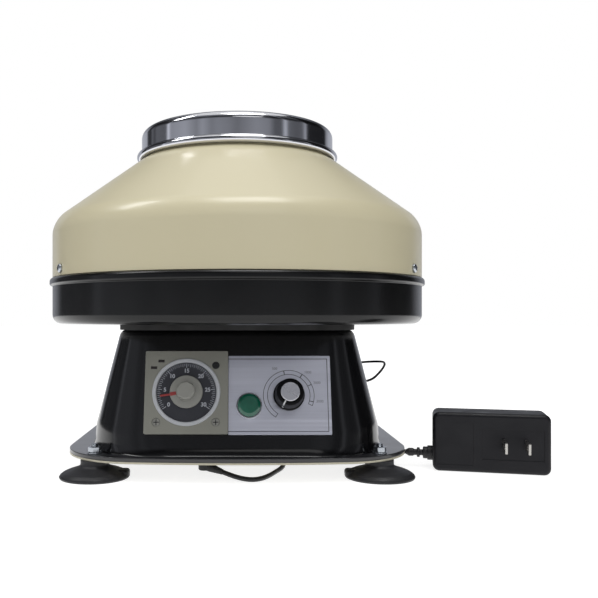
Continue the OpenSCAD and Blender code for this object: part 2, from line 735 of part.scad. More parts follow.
// Head: a hub, a flat web and a dish square to the shields
module rotor_head() color([0.72, 0.73, 0.75]) {
    along = [cos(shield_angle), sin(shield_angle)];
    through = [sin(shield_angle), -cos(shield_angle)];
    cross_at = [shield_ring_r, shield_cross_z];
    in_low = cross_at - dish_in * along + dish_t / 2 * through;
    in_top = cross_at - dish_in * along - dish_t / 2 * through;
    out_top = cross_at + dish_out * along - dish_t / 2 * through;
    out_low = cross_at + dish_out * along + dish_t / 2 * through;
    difference() {
        rotate_extrude() {
            translate([shaft_r + thin, head_low_z]) square([hub_r - shaft_r - thin, hub_h]);
            polygon([[hub_r - cut, head_web_z], [in_low[0] - 2, head_web_z], in_low, out_low, out_top,
                in_top, [hub_r - cut, head_web_z + dish_t]]);
        }
        for (i = [0 : shield_count - 1]) at_shield(i)
            cylinder(r = shield_r + touch, h = 4 * dish_t, center = true);
    }
}

module rotor_nut() color([0.6, 0.6, 0.62]) translate([0, 0, hub_top_z + thin]) difference() {
    union() {
        cylinder(r = 9, h = 3);
        cylinder(r = 7, h = rotor_nut_h);
    }
    translate([0, 0, -cut]) cylinder(r = shaft_r + thin, h = rotor_nut_h + 2 * cut);
}

// Where shield i crosses the dish, with Z along the shield's axis towards its mouth
module at_shield(i) rotate(45 + 360 * i / shield_count) translate([shield_ring_r, 0, shield_cross_z])
    rotate([0, -shield_angle, 0]) children();

module tube_shield(i) color([0.8, 0.8, 0.82]) at_shield(i) rotate_extrude() difference() {
    union() {
        translate([0, -shield_l + shield_r]) square([shield_r, shield_l - shield_r + shield_seat + touch]);
        translate([0, -shield_l + shield_r]) circle(shield_r);
        translate([0, shield_seat]) square([shield_collar_r, shield_collar_t]);
    }
    translate([-2 * shield_r, -shield_l - cut]) square([2 * shield_r, 2 * shield_l]);
    translate([0, -shield_l + shield_r]) square([shield_r - shield_t, shield_l + dish_t]);
    translate([0, -shield_l + shield_r]) circle(shield_r - shield_t);
}

module timer_case() color([0.75, 0.73, 0.68]) on_panel(timer_u, timer_v, -timer_depth)
    difference() {
        translate([-timer_body / 2, -timer_body / 2, 0]) cube([timer_body, timer_body, timer_depth - thin]);
        translate([0, 0, timer_depth - 6]) cylinder(r = timer_shaft_r + touch, h = 6 + cut);
    }

module timer_bezel() color([0.7, 0.68, 0.6]) on_panel(timer_u, timer_v) difference() {
    union() {
        translate([-timer_size / 2, -timer_size / 2, 0]) cube([timer_size, timer_size, bezel_t]);
        cylinder(r = dial_ring_r, h = bezel_t + ring_up);
    }
    translate([0, 0, bezel_t - dial_drop]) cylinder(r = dial_r, h = 2 * bezel_t);
    translate([0, 0, -cut]) cylinder(r = timer_shaft_r + touch, h = 2 * bezel_t);
    for (i = [-1, 1]) translate([i * selector_uv[0], selector_uv[1], 1])
        cylinder(r = selector_r + touch, h = bezel_t);
    translate([unit_selector_uv[0], unit_selector_uv[1], 1])
        cylinder(r = unit_selector_r + touch, h = bezel_t);
    for (p = lamp_uv) translate([p[0], p[1], bezel_t])
        cube([lamp_size[0] + 2 * thin, lamp_size[1] + 2 * thin, 2], center = true);
}

module timer_dial() color([0.16, 0.16, 0.2]) on_panel(timer_u, timer_v, bezel_t - dial_drop)
    linear_extrude(dial_t) difference() {
    circle(dial_r - touch);
    circle(timer_shaft_r + touch);
}

module timer_lamps() color([0.2, 0.1, 0.08]) for (p = lamp_uv)
    on_panel(timer_u + p[0] - lamp_size[0] / 2, timer_v + p[1] - lamp_size[1] / 2, bezel_t - 1)
        cube([lamp_size[0], lamp_size[1], 1]);

module timer_clamp() color([0.2, 0.2, 0.2])
    on_panel(timer_u, timer_v, panel_back - timer_clamp_gap - timer_clamp_d)
    linear_extrude(timer_clamp_d) difference() {
        square(timer_clamp_w, center = true);
        square(timer_body + 2 * thin, center = true);
    }

module timer_knob() color([0.6, 0.59, 0.52]) on_panel(timer_u, timer_v) difference() {
    union() {
        translate([0, 0, timer_knob_w]) cylinder(r = timer_knob_r, h = 1.6);
        translate([0, 0, timer_knob_w + 1.6])
            cylinder(r1 = timer_knob_r - 0.8, r2 = timer_cap_r + 0.6, h = 2);
        translate([0, 0, timer_knob_w + 1.6]) cylinder(r = timer_cap_r, h = timer_knob_h - 1.6);
        translate([0, 0, -5]) cylinder(r = timer_shaft_r, h = timer_knob_w + 6);
    }
    clockwise(pointer_turn) translate([-0.7, timer_cap_r, timer_knob_w - cut])
        cube([1.4, timer_knob_r, 2 * timer_knob_h]);
}

module timer_pointer() color([0.75, 0.12, 0.12]) on_panel(timer_u, timer_v, timer_knob_w)
    clockwise(pointer_turn) translate([-0.65, timer_cap_r + thin, 0])
        cube([1.3, dial_r - timer_cap_r - 2, 1.2]);

// Small setting screw with a crossed slot; its top lies just under the bezel's face
module selector(u, v, r) on_panel(timer_u + u, timer_v + v, 1 + thin) difference() {
    cylinder(r = r, h = bezel_t - 1.2);
    for (slot = [0, 90]) rotate(slot) translate([0, 0, bezel_t - 1.2])
        cube([2 * r - 0.8, 0.6, 1.2], center = true);
}

module timer_range_selector() color([0.55, 0.53, 0.47])
    selector(-selector_uv[0], selector_uv[1], selector_r);

module timer_mode_selector() color([0.55, 0.53, 0.47])
    selector(selector_uv[0], selector_uv[1], selector_r);

module timer_unit_selector() color([0.08, 0.08, 0.08])
    selector(unit_selector_uv[0], unit_selector_uv[1], unit_selector_r);

module face_plate() color([0.62, 0.62, 0.66]) difference() {
    on_panel(plate_left_u, plate_low_v, thin) cube([plate_right_u - plate_left_u, plate_v, face_t - thin]);
    on_panel(knob_u, knob_v) cylinder(r = bushing_r + slide_gap, h = 4 * face_t, center = true);
    on_panel(button_u, button_v) cylinder(r = button_barrel_r + slide_gap, h = 4 * face_t, center = true);
}

module speed_pot() color([0.3, 0.3, 0.32]) on_panel(knob_u, knob_v) difference() {
    union() {
        translate([0, 0, panel_back - pot_d - thin]) cylinder(r = pot_r, h = pot_d);
        translate([0, 0, panel_back - cut]) cylinder(r = bushing_r, h = knob_w + 3 - panel_back + cut);
    }
    translate([0, 0, panel_back - pot_d + 2]) cylinder(r = pot_shaft_d / 2 + run_gap, h = pot_d + 20);
}

module pot_shaft() color("silver") on_panel(knob_u, knob_v, panel_back - pot_d + 3)
    cylinder(r = pot_shaft_d / 2, h = knob_bore_w - touch - panel_back + pot_d - 3);

module speed_knob() color([0.06, 0.06, 0.07]) on_panel(knob_u, knob_v, knob_w) difference() {
    union() {
        cylinder(r = knob_r, h = knob_skirt_t);
        translate([0, 0, knob_skirt_t])
            cylinder(r1 = knob_r - 0.6, r2 = knob_front_r, h = knob_h - knob_skirt_t);
    }
    translate([0, 0, -cut]) cylinder(r = bushing_r + clear_gap, h = cut + 3 + slide_gap);
    translate([0, 0, -cut]) cylinder(r = pot_shaft_d / 2 + thin, h = knob_bore_w - knob_w + cut);
    translate([0, 0, knob_h - 1]) cylinder(r = knob_cap_r + thin, h = 2);
    clockwise(knob_turn) translate([-0.45, knob_cap_r + 0.4, knob_h - 0.4]) cube([0.9, knob_r, 2]);
}

module speed_knob_cap() color([0.78, 0.78, 0.78]) on_panel(knob_u, knob_v, knob_w + knob_h - 1)
    cylinder(r = knob_cap_r, h = 1.4);

module button_bezel() color([0.3, 0.3, 0.3]) on_panel(button_u, button_v, face_t)
    linear_extrude(button_ring_t) difference() {
    circle(button_ring_r);
    circle(button_r + clear_gap);
}

module button_switch() color([0.25, 0.25, 0.27]) on_panel(button_u, button_v) difference() {
    union() {
        translate([0, 0, panel_back - 18])
            cylinder(r = button_barrel_r, h = face_t + 18 - panel_back - touch);
        translate([0, 0, panel_back - 4]) cylinder(r = button_ring_r + 1.5, h = 4 - thin);
    }
    translate([0, 0, button_w - plunger_l - button_travel - 1])
        cylinder(r = plunger_r + slide_gap, h = 30);
}

module start_button() color([0.05, 0.35, 0.22]) on_panel(button_u, button_v) {
    translate([0, 0, button_w]) cylinder(r = button_r, h = button_t - 0.8);
    translate([0, 0, button_w + button_t - 0.8]) cylinder(r1 = button_r, r2 = button_r - 1.2, h = 0.8);
    translate([0, 0, button_w - plunger_l]) cylinder(r = plunger_r, h = plunger_l + touch);
}

module circuit_board() color([0.1, 0.35, 0.2]) translate([0, board_y, board_z])
    linear_extrude(board_t) difference() {
    square(board_size, center = true);
    at_corners(board_size[0] / 2 - board_hole_in, board_size[1] / 2 - board_hole_in) circle(board_hole_r);
}

module board_parts() color([0.2, 0.25, 0.4]) translate([0, board_y, board_z + board_t]) {
    for (place = capacitor_at) translate(place) cylinder(r = capacitor_r, h = capacitor_h);
    translate(heat_sink_at) cube(heat_sink_size);
    translate(terminal_at) cube(terminal_size);
}

module board_spacers() color("silver") translate([0, board_y, base_z])
    at_corners(board_size[0] / 2 - board_hole_in, board_size[1] / 2 - board_hole_in)
    cylinder(r = spacer_r, h = board_z - base_z);

module side_connector() color([0.5, 0.5, 0.52]) on_side(connector_y, connector_h) difference() {
    union() {
        translate([0, 0, thin]) cylinder(r = connector_r, h = 2.6);
        translate([0, 0, -8]) cylinder(r = connector_hole_r, h = 9);
    }
    translate([0, 0, 1.4]) cylinder(r = connector_hole_r - 0.6, h = 3);
}

module side_wire() color([0.04, 0.04, 0.04]) tube(smooth_route(side_wire_route, 3), side_wire_d / 2, 8);

module wire_grommet() color([0.1, 0.1, 0.1]) on_side(grommet_y, grommet_h) difference() {
    union() {
        translate([0, 0, thin]) cylinder(r = grommet_r, h = 1.4);
        translate([0, 0, -5]) cylinder(r = grommet_hole_r, h = 6);
    }
    translate([0, 0, -0.2]) cylinder(r = side_wire_d / 2 + 0.9, h = 3);
}

module dc_jack() color([0.12, 0.12, 0.12]) translate([jack_x, jack_y, bottom_plate_z]) difference() {
    union() {
        cylinder(r = jack_r, h = jack_h);
        translate([0, 0, bottom_plate_t]) cylinder(r = jack_r + 1.8, h = 2);
    }
    translate([0, 0, -cut]) cylinder(r = barrel_r + run_gap, h = barrel_l + cut + 0.5);
}

// Elbow plug: an upright body with a barrel, and a tapered handle along the cord's first stretch
module dc_plug() color([0.06, 0.06, 0.07]) {
    handle_end = cord_front_route[0];
    handle_from = [jack_x, jack_y, plug_low_z + 2.6];
    run = handle_end - handle_from;
    translate([jack_x, jack_y, plug_low_z]) cylinder(r = plug_r, h = bottom_plate_z - touch - plug_low_z);
    translate([jack_x, jack_y, bottom_plate_z - cut]) cylinder(r = barrel_r, h = barrel_l + cut);
    translate(handle_from) rotate([0, atan2(norm([run[0], run[1]]), run[2]), atan2(run[1], run[0])])
        cylinder(r1 = 2.6, r2 = cord_d / 2 + 0.3, h = norm(run));
}

module cord_front() color([0.05, 0.05, 0.05]) tube(smooth_route(cord_front_route, 2), cord_d / 2, 8);

module cord_rear() color([0.05, 0.05, 0.05]) tube(smooth_route(cord_rear_route, 2), cord_d / 2, 8);

module cord_coil() color([0.05, 0.05, 0.05]) tube(coil_path, cord_d / 2, 6);

module adapter_case() color([0.07, 0.07, 0.09]) intersection() {
    on_adapter(adapter_l / 2, adapter_d / 2, 0) linear_extrude(adapter_h)
        rounded(adapter_l / 2, adapter_d / 2, adapter_corner_r);
    on_adapter(adapter_l / 2, adapter_d, adapter_h / 2) rotate([90, 0, 0]) linear_extrude(adapter_d)
        rounded(adapter_l / 2, adapter_h / 2, adapter_edge_r);
}

module adapter_strain_relief() color([0.06, 0.06, 0.07])
    on_adapter(-thin, adapter_d / 2, outlet_h) rotate([0, -90, 0]) {
    cylinder(r = 4.5, h = 3.2);
    cylinder(r = 3.7, h = 5.8);
    cylinder(r = 1.9, h = relief_l - 3);
    translate([0, 0, 7.8]) cylinder(r = 3.05, h = 1.6);
    translate([0, 0, 11.2]) cylinder(r1 = 1.7, r2 = 2.5, h = 1.6);
    translate([0, 0, 12.8]) cylinder(r = 2.5, h = 1.8);
    translate([0, 0, 14.6]) cylinder(r1 = 2.5, r2 = cord_d / 2 + 0.2, h = relief_l - 14.6);
}

module adapter_blades() color("silver") for (i = [-1, 1])
    on_adapter(blade_x + i * blade_gap / 2, -blade_l / 2 - thin, adapter_h / 2) difference() {
        cube([blade_t, blade_l, blade_w], center = true);
        translate([0, -blade_l / 2 + 4, 0]) rotate([0, 90, 0])
            cylinder(r = blade_hole_r, h = 4 * blade_t, center = true, $fn = 32);
    }

bottom_plate();
base_plate();
housing();
bowl_gasket();
bowl();
top_cover();
cover_screws();
bowl_screws();
base_screws();
lid_cap();
foot(-foot_x, -foot_y, 1);  // foot_front_left
foot(foot_x, -foot_y, -1);  // foot_front_right
foot(-foot_x, foot_y, 1);  // foot_rear_left
foot(foot_x, foot_y, -1);  // foot_rear_right
foot_studs();
foot_nuts();
motor_plate();
motor_dampers();
motor_case();
motor_bearings();
motor_armature();
motor_shaft();
rotor_head();
rotor_nut();
tube_shield(0);  // tube_shield_1
tube_shield(1);  // tube_shield_2
tube_shield(2);  // tube_shield_3
tube_shield(3);  // tube_shield_4
timer_case();
timer_bezel();
timer_dial();
timer_lamps();
timer_clamp();
timer_knob();
timer_pointer();
timer_range_selector();
timer_mode_selector();
timer_unit_selector();
face_plate();
speed_pot();
pot_shaft();
speed_knob();
speed_knob_cap();
button_bezel();
button_switch();
start_button();
circuit_board();
board_parts();
board_spacers();
side_connector();
side_wire();
wire_grommet();
dc_jack();
dc_plug();
cord_front();
cord_coil();
cord_rear();
adapter_case();
adapter_strain_relief();
adapter_blades();
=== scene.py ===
"""Looks of the bench centrifuge: smooth pieces, finishes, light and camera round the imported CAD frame.

Lengths in this script are millimetres, turned into metres when a piece is made.
"""
from math import atan2, cos, pi, radians, sin, sqrt, tan

import bmesh
import bpy
from mathutils import Matrix, Vector


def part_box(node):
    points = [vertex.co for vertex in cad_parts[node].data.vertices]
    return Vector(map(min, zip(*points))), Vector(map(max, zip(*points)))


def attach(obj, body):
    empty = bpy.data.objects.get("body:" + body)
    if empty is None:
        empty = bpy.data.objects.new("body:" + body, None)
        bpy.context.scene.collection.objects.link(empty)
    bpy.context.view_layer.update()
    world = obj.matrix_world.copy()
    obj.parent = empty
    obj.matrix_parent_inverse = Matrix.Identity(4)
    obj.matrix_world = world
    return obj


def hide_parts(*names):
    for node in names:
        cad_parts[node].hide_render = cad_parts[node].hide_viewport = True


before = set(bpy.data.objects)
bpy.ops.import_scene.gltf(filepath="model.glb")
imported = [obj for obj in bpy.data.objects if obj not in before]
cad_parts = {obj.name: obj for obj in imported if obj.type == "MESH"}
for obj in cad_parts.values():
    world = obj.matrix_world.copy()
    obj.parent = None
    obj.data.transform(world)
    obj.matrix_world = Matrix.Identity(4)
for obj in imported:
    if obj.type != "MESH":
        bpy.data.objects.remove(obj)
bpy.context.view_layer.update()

MM = 0.001
AROUND = 144
shift = Matrix.Translation

# Camera, fitted to the photograph

CAMERA_AT = (0.0, -0.526, 0.0951)
PHOTO_WIDTH = 598
FOCAL_PX = 755.0
AXIS_COLUMN = 237.2
HORIZON_ROW = 315.2
SENSOR = 36.0


def linked(name, data):
    """New object in the scene."""
    made = bpy.data.objects.new(name, data)
    bpy.context.collection.objects.link(made)
    return made


def make_camera():
    data = bpy.data.cameras.new("camera")
    data.sensor_width = SENSOR
    data.lens = FOCAL_PX / PHOTO_WIDTH * SENSOR
    data.shift_x = (PHOTO_WIDTH / 2 - AXIS_COLUMN) / PHOTO_WIDTH
    data.shift_y = (HORIZON_ROW - PHOTO_WIDTH / 2) / PHOTO_WIDTH
    data.clip_start = 0.01
    camera = linked("camera", data)
    camera.location = CAMERA_AT
    camera.rotation_euler = (radians(90), 0, 0)
    bpy.context.scene.camera = camera


make_camera()

# Sizes taken from the frame


def low(node):
    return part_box(node)[0][2] / MM


def high(node):
    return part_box(node)[1][2] / MM


BOTTOM_Z = low("bottom_plate")
BASE_Z = low("base_plate")
HOUSING_Z = low("housing")
HOUSING_H = high("housing") - HOUSING_Z
GASKET_Z = low("bowl_gasket")
BOWL_Z = low("bowl")
COVER_Z = low("top_cover")
COLLAR_TOP_Z = high("top_cover")
LID_TOP_Z = high("lid_cap")
LID_LOW_Z = low("lid_cap")

# Sizes shared with the CAD source

BOWL_R = 125.0
SHEET_T = 1.5
CONE_LOW_Z = COVER_Z + 36.3
MOUTH_R = 66.6
MOUTH_Z = CONE_LOW_Z + 43.35
CONE_ANGLE = atan2(MOUTH_Z - CONE_LOW_Z, BOWL_R - MOUTH_R)
COLLAR_R = 62.4
RIM_R = 2.5
RIM_Z = LID_LOW_Z + RIM_R
LID_R = 65.8
LEAN = radians(15)
SIDE_LEAN = radians(15.2)
WALL_HALF_D = 97.9
WALL_HALF_W = 88
SKIRT_HALF_W = 88.7
SKIRT_H = 13.9
FILLET_H = 5.9
SHOULDER_R = 3.6
FEET_X, FEET_Y = 83.7, 82.5
TIMER_UV = (-29.3, 37.2)
KNOB_UV = (29.8, 35.6)
BUTTON_UV = (6.9, 29.5)
PLATE_U = (-5.1, 54.2)
PLATE_V = (13.0, 58.9)
BASE_SCREWS = (80.0, 30.0)
JACK_XY = (-19.0, -82.0)
KNOB_HOLE_R = 3.7
BUTTON_HOLE_R = 6.2
SOCKET_AT = (-30, 37)
GROMMET_AT = (42, 45)
ADAPTER_AT = (119.3, -65.2, 0)
ADAPTER_TURN = radians(-13.9)
SHAFT_BORE_R = 3.02
CORD_D = 2.8
SIDE_WIRE_D = 1.6

# Places


def on_panel(u=0.0, v=0.0, w=0.0):
    """Frame of the control panel: X right, Y up the slope, Z out of it."""
    return (shift((0, -WALL_HALF_D, HOUSING_Z)) @ Matrix.Rotation(pi / 2 - LEAN, 4, "X")
            @ shift((u, v, w)))


def on_side(y, h):
    """Frame on the right-hand wall of the housing, Z out of it."""
    return (shift((housing_half_w(h), y, HOUSING_Z + h))
            @ Matrix.Rotation(pi / 2 - SIDE_LEAN, 4, "Y"))


def on_adapter(x=0.0, y=0.0, z=0.0):
    """Frame of the adapter: X along it, Y into it from its front face."""
    return (shift(ADAPTER_AT) @ Matrix.Rotation(ADAPTER_TURN, 4, "Z")
            @ shift((x, y, z)))


def clockwise(degrees_turned):
    return Matrix.Rotation(radians(-degrees_turned), 4, "Z")


def housing_half_w(h):
    """Half the width of the housing at a height above its bottom."""
    if h < SKIRT_H:
        return SKIRT_HALF_W - 0.7 * (h - FILLET_H) / (SKIRT_H - FILLET_H)
    return WALL_HALF_W - (h - SKIRT_H) * tan(SIDE_LEAN)


# Shapes, made with mesh operators in millimetres


def arc(cx, cy, r, start, end, steps):
    """Points on an arc, its angles in degrees counted anticlockwise from +X."""
    angles = [radians(start + (end - start) * k / steps) for k in range(steps + 1)]
    return [(cx + r * cos(a), cy + r * sin(a)) for a in angles]


def circle(r, steps=48, cx=0.0, cy=0.0):
    return arc(cx, cy, r, 0, 360, steps)[:-1]


def rounded_rect(hw, hd, r, steps=12, cx=0.0, cy=0.0):
    points = []
    for quarter, (i, j) in enumerate(((1, 1), (-1, 1), (-1, -1), (1, -1))):
        points += arc(cx + i * (hw - r), cy + j * (hd - r), r, 90 * quarter, 90 * quarter + 90, steps)
    return points


def wire(bm, points, z=0.0):
    """Closed loop of edges through points."""
    verts = [bm.verts.new((x, y, z)) for x, y in points]
    return [bm.edges.new(pair) for pair in zip(verts, verts[1:] + verts[:1])]


def turned(section, around=AROUND, corner_steps=5):
    """Spins a closed section of (radius, height[, corner radius]) about Z."""
    bm = bmesh.new()
    corners = [bm.verts.new((point[0], 0, point[1])) for point in section]
    bm.faces.new(corners)
    reaches = []
    for i, point in enumerate(section):
        at = corners[i].co
        before = corners[i - 1].co - at
        after = corners[(i + 1) % len(corners)].co - at
        reaches.append(point[2] / tan(before.angle(after) / 2) if len(point) > 2 else 0)
    for corner, reach in zip(corners, reaches):
        if reach > 0:
            bmesh.ops.bevel(bm, geom=[corner], offset=reach, offset_type="OFFSET", segments=corner_steps,
                            profile=0.5, affect="VERTICES", clamp_overlap=True, material=-1)
    bmesh.ops.delete(bm, geom=bm.faces[:], context="FACES_ONLY")
    on_axis = [e for e in bm.edges if all(abs(v.co.x) < 1e-6 for v in e.verts)]
    bmesh.ops.delete(bm, geom=on_axis, context="EDGES")
    bmesh.ops.spin(bm, geom=bm.verts[:] + bm.edges[:], cent=(0, 0, 0), axis=(0, 0, 1), angle=2 * pi,
                   steps=around, use_merge=True)
    bmesh.ops.remove_doubles(bm, verts=bm.verts, dist=1e-4)
    return bm


def raised(outlines, z, height, bevel=0.0, segments=2):
    """Plate of some height with the first outline outside and the others as holes."""
    bm = bmesh.new()
    edges = [edge for points in outlines for edge in wire(bm, points, z)]
    filled = bmesh.ops.triangle_fill(bm, edges=edges, use_beauty=True)
    faces = [item for item in filled["geom"] if isinstance(item, bmesh.types.BMFace)]
    top = bmesh.ops.extrude_face_region(bm, geom=faces)
    moved = [item for item in top["geom"] if isinstance(item, bmesh.types.BMVert)]
    bmesh.ops.translate(bm, vec=(0, 0, height), verts=moved)
    if bevel:
        soften(bm, bevel, segments)
    return bm


def soften(bm, width, segments=2, sharper=50):
    """Rounds the edges sharper than an angle."""
    bmesh.ops.recalc_face_normals(bm, faces=bm.faces)
    edges = [e for e in bm.edges if len(e.link_faces) == 2 and e.calc_face_angle(0) > radians(sharper)]
    bmesh.ops.bevel(bm, geom=edges, offset=width, segments=segments, profile=0.5, affect="EDGES",
                    clamp_overlap=True, material=-1)
    return bm


def block(corner, opposite, bevel=0.0, segments=2):
    """Box between two corners, with round edges."""
    bm = bmesh.new()
    size = [abs(b - a) for a, b in zip(corner, opposite)]
    centre = [(a + b) / 2 for a, b in zip(corner, opposite)]
    bmesh.ops.create_cube(bm, size=1.0, matrix=shift(centre) @ Matrix.Diagonal((*size, 1)))
    return soften(bm, bevel, segments) if bevel else bm


def prism(sides, r, z, height, bevel=0.0):
    bm = bmesh.new()
    bmesh.ops.create_cone(bm, cap_ends=True, segments=sides, radius1=r, radius2=r, depth=height,
                          matrix=shift((0, 0, z + height / 2)))
    return soften(bm, bevel) if bevel else bm


def stacked(rings, closed=False):
    """Bridges loops of (points, height), one after the other."""
    bm = bmesh.new()
    wires = [wire(bm, points, z) for points, z in rings]
    pairs = list(zip(wires, wires[1:]))
    if closed:
        pairs.append((wires[-1], wires[0]))
    for first, second in pairs:
        bmesh.ops.bridge_loops(bm, edges=first + second)
    return bm


def joined(parts):
    """One bmesh of (bmesh, matrix) parts; the parts stay usable."""
    bm = bmesh.new()
    for part, matrix in parts:
        mesh = bpy.data.meshes.new("part")
        part.to_mesh(mesh)
        mesh.transform(matrix)
        bm.from_mesh(mesh)
        bpy.data.meshes.remove(mesh)
    return bm


def here(part):
    return part, Matrix.Identity(4)


def placed(bm, matrix):
    return joined([(bm, matrix)])


def mesh_object(name, bm):
    """New object with the bmesh as its mesh; the bmesh is used up."""
    mesh = bpy.data.meshes.new(name)
    bm.to_mesh(mesh)
    bm.free()
    return linked(name, mesh)


def carved(body, cutters):
    """The bmesh with closed cutters taken out of it; all of them are used up."""
    made = []
    for bm in [body, *cutters]:
        bmesh.ops.recalc_face_normals(bm, faces=bm.faces)
        made.append(mesh_object("carving", bm))
    for cutter in made[1:]:
        cut = made[0].modifiers.new("cut", "BOOLEAN")
        cut.operation = "DIFFERENCE"
        cut.solver = "EXACT"
        cut.object = cutter
    bpy.context.view_layer.update()
    result = bmesh.new()
    result.from_object(made[0], bpy.context.evaluated_depsgraph_get())
    for item in made:
        mesh = item.data
        bpy.data.objects.remove(item)
        bpy.data.meshes.remove(mesh)
    return result


def piece(name, bm, material, replaces="", place=None, body="base", crease=35.0):
    """Turns a bmesh in millimetres into a finished piece in metres that rides on a body."""
    matrix = Matrix.Scale(MM, 4) @ (place if place is not None else Matrix.Identity(4))
    bmesh.ops.transform(bm, matrix=matrix, verts=bm.verts)
    bmesh.ops.remove_doubles(bm, verts=bm.verts, dist=1e-7)
    bmesh.ops.recalc_face_normals(bm, faces=bm.faces)
    for face in bm.faces:
        face.smooth = True
    for edge in bm.edges:
        edge.smooth = len(edge.link_faces) == 2 and edge.calc_face_angle(0) <= radians(crease)
    made = mesh_object(name, bm)
    made.data.materials.append(material)
    weights = made.modifiers.new("even_shading", "WEIGHTED_NORMAL")
    weights.keep_sharp = True
    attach(made, body)
    if replaces:
        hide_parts(*replaces.split())


def lettering(text, height, centre, raise_by=0.04, bolder=0.0):
    """Plain digits as a thin bmesh, centred on a point of the panel's plane."""
    curve = bpy.data.curves.new("digits", "FONT")
    curve.body = text
    curve.size = height * 1.4
    curve.extrude = raise_by / 2
    curve.offset = bolder
    curve.align_x = "CENTER"
    curve.align_y = "CENTER"
    words = linked("digits", curve)
    bpy.context.view_layer.update()
    mesh = bpy.data.meshes.new_from_object(words.evaluated_get(bpy.context.evaluated_depsgraph_get()))
    bm = bmesh.new()
    bm.from_mesh(mesh)
    bpy.data.objects.remove(words)
    bpy.data.curves.remove(curve)
    bpy.data.meshes.remove(mesh)
    bmesh.ops.remove_doubles(bm, verts=bm.verts, dist=1e-4)
    bmesh.ops.translate(bm, vec=centre, verts=bm.verts)
    return bm


# Finishes


class Nodes:
    """Short way to write the node tree of a material or world."""

    def __init__(self, owner):
        owner.use_nodes = True
        self.tree = owner.node_tree
        self.coords = self.add("TexCoord").outputs["Object"]

    def add(self, kind, **values):
        node = self.tree.nodes.new("ShaderNode" + kind)
        for key, value in values.items():
            if key in node.inputs.keys():
                self.put(node.inputs[key], value)
            else:
                setattr(node, key, value)
        return node

    def put(self, socket, value):
        if isinstance(value, bpy.types.NodeSocket):
            self.tree.links.new(value, socket)
        else:
            socket.default_value = value

    def set(self, **values):
        """Sets inputs of the material's own shader."""
        for key, value in values.items():
            self.put(self.tree.nodes["Principled BSDF"].inputs[key.replace("_", " ")], value)

    def pair(self, kind, first, second, start=0, **values):
        """Output of a node that takes two values, from input number start on."""
        node = self.add(kind, **values)
        self.put(node.inputs[start], first)
        self.put(node.inputs[start + 1], second)
        return node.outputs[0]

    def noise(self, scale, detail=2.0, rough=0.5, stretch=None):
        vector = self.coords
        if stretch:
            vector = self.add("Mapping", Vector=vector, Scale=stretch).outputs["Vector"]
        return self.add("TexNoise", Vector=vector, Scale=scale, Detail=detail, Roughness=rough).outputs["Fac"]

    def ramp(self, fac, darker, lighter):
        """Blends two colours over the middle of a noise."""
        node = self.add("ValToRGB", Fac=fac)
        stops = node.color_ramp.elements
        stops[0].position, stops[1].position = 0.3, 0.7
        stops[0].color, stops[1].color = (*darker, 1), (*lighter, 1)
        return node.outputs["Color"]

    def span(self, fac, first, last, start=0.3, end=0.7):
        """Maps start to end onto first to last."""
        node = self.add("MapRange", Value=fac)
        for key, value in (("From Min", start), ("From Max", end), ("To Min", first), ("To Max", last)):
            node.inputs[key].default_value = value
        return node.outputs["Result"]

    def bump(self, height, strength, distance):
        node = self.add("Bump", Height=height, Strength=strength, Distance=distance)
        return node.outputs["Normal"]


def paint(name, colour, rough=0.3, coat=0.0, peel=0.06, shade=0.93, shine=0.5):
    """Sprayed paint: faint cloudiness and orange peel."""
    material = bpy.data.materials.new(name)
    n = Nodes(material)
    n.set(Base_Color=n.ramp(n.noise(9, 2), tuple(c * shade for c in colour), colour),
          Roughness=n.span(n.noise(55, 3), rough * 0.93, rough * 1.07),
          Specular_IOR_Level=shine, Coat_Weight=coat, Coat_Roughness=0.06)
    n.set(Normal=n.bump(n.noise(420, 2), peel, 0.0002))
    return material


def plastic(name, colour, rough=0.45, grain=0.15, grain_scale=1500, coat=0.0, shine=0.5):
    """Moulded plastic or rubber with a fine grain."""
    material = bpy.data.materials.new(name)
    n = Nodes(material)
    n.set(Base_Color=n.ramp(n.noise(30, 3), tuple(c * 0.88 for c in colour), colour),
          Roughness=n.span(n.noise(90, 4), rough * 0.85, rough * 1.15), Specular_IOR_Level=shine,
          Coat_Weight=coat, Coat_Roughness=0.1)
    n.set(Normal=n.bump(n.noise(grain_scale, 3), grain, 0.0001))
    return material


def metal(name, colour, rough=0.25, stretch=None, scale=60.0, streak=0.12):
    """Bare metal, with streaks along the axes where stretch is small."""
    material = bpy.data.materials.new(name)
    n = Nodes(material)
    grain = n.noise(scale, 5, 0.6, stretch)
    n.set(Base_Color=n.ramp(grain, tuple(c * (1 - streak) for c in colour), colour), Metallic=1.0,
          Roughness=n.span(grain, rough * 0.8, rough * 1.25))
    n.set(Normal=n.bump(grain, 0.05, 0.0001))
    return material


def spun_metal(name, colour, rough=0.2, pitch=900.0, strength=0.1, matrix=None):
    """Metal with fine rings round the Z axis, or round that of a matrix."""
    material = bpy.data.materials.new(name)
    n = Nodes(material)
    vector = n.coords
    if matrix is not None:
        inverse = matrix.inverted()
        vector = n.add("Mapping", Vector=vector, Location=inverse.translation * MM,
                       Rotation=inverse.to_euler()).outputs["Vector"]
    split = n.add("SeparateXYZ", Vector=vector)
    flat = n.add("CombineXYZ", X=split.outputs["X"], Y=split.outputs["Y"])
    radius = n.add("VectorMath", operation="LENGTH")
    n.put(radius.inputs[0], flat.outputs["Vector"])
    rings = n.add("TexNoise", noise_dimensions="1D", Scale=pitch, Detail=3.0)
    n.put(rings.inputs["W"], radius.outputs["Value"])
    blotch = n.noise(25, 3)
    n.set(Base_Color=n.ramp(rings.outputs["Fac"], tuple(c * 0.88 for c in colour), colour), Metallic=1.0,
          Roughness=n.span(blotch, rough * 0.8, rough * 1.3))
    n.set(Normal=n.bump(rings.outputs["Fac"], strength, 0.00005))
    return material


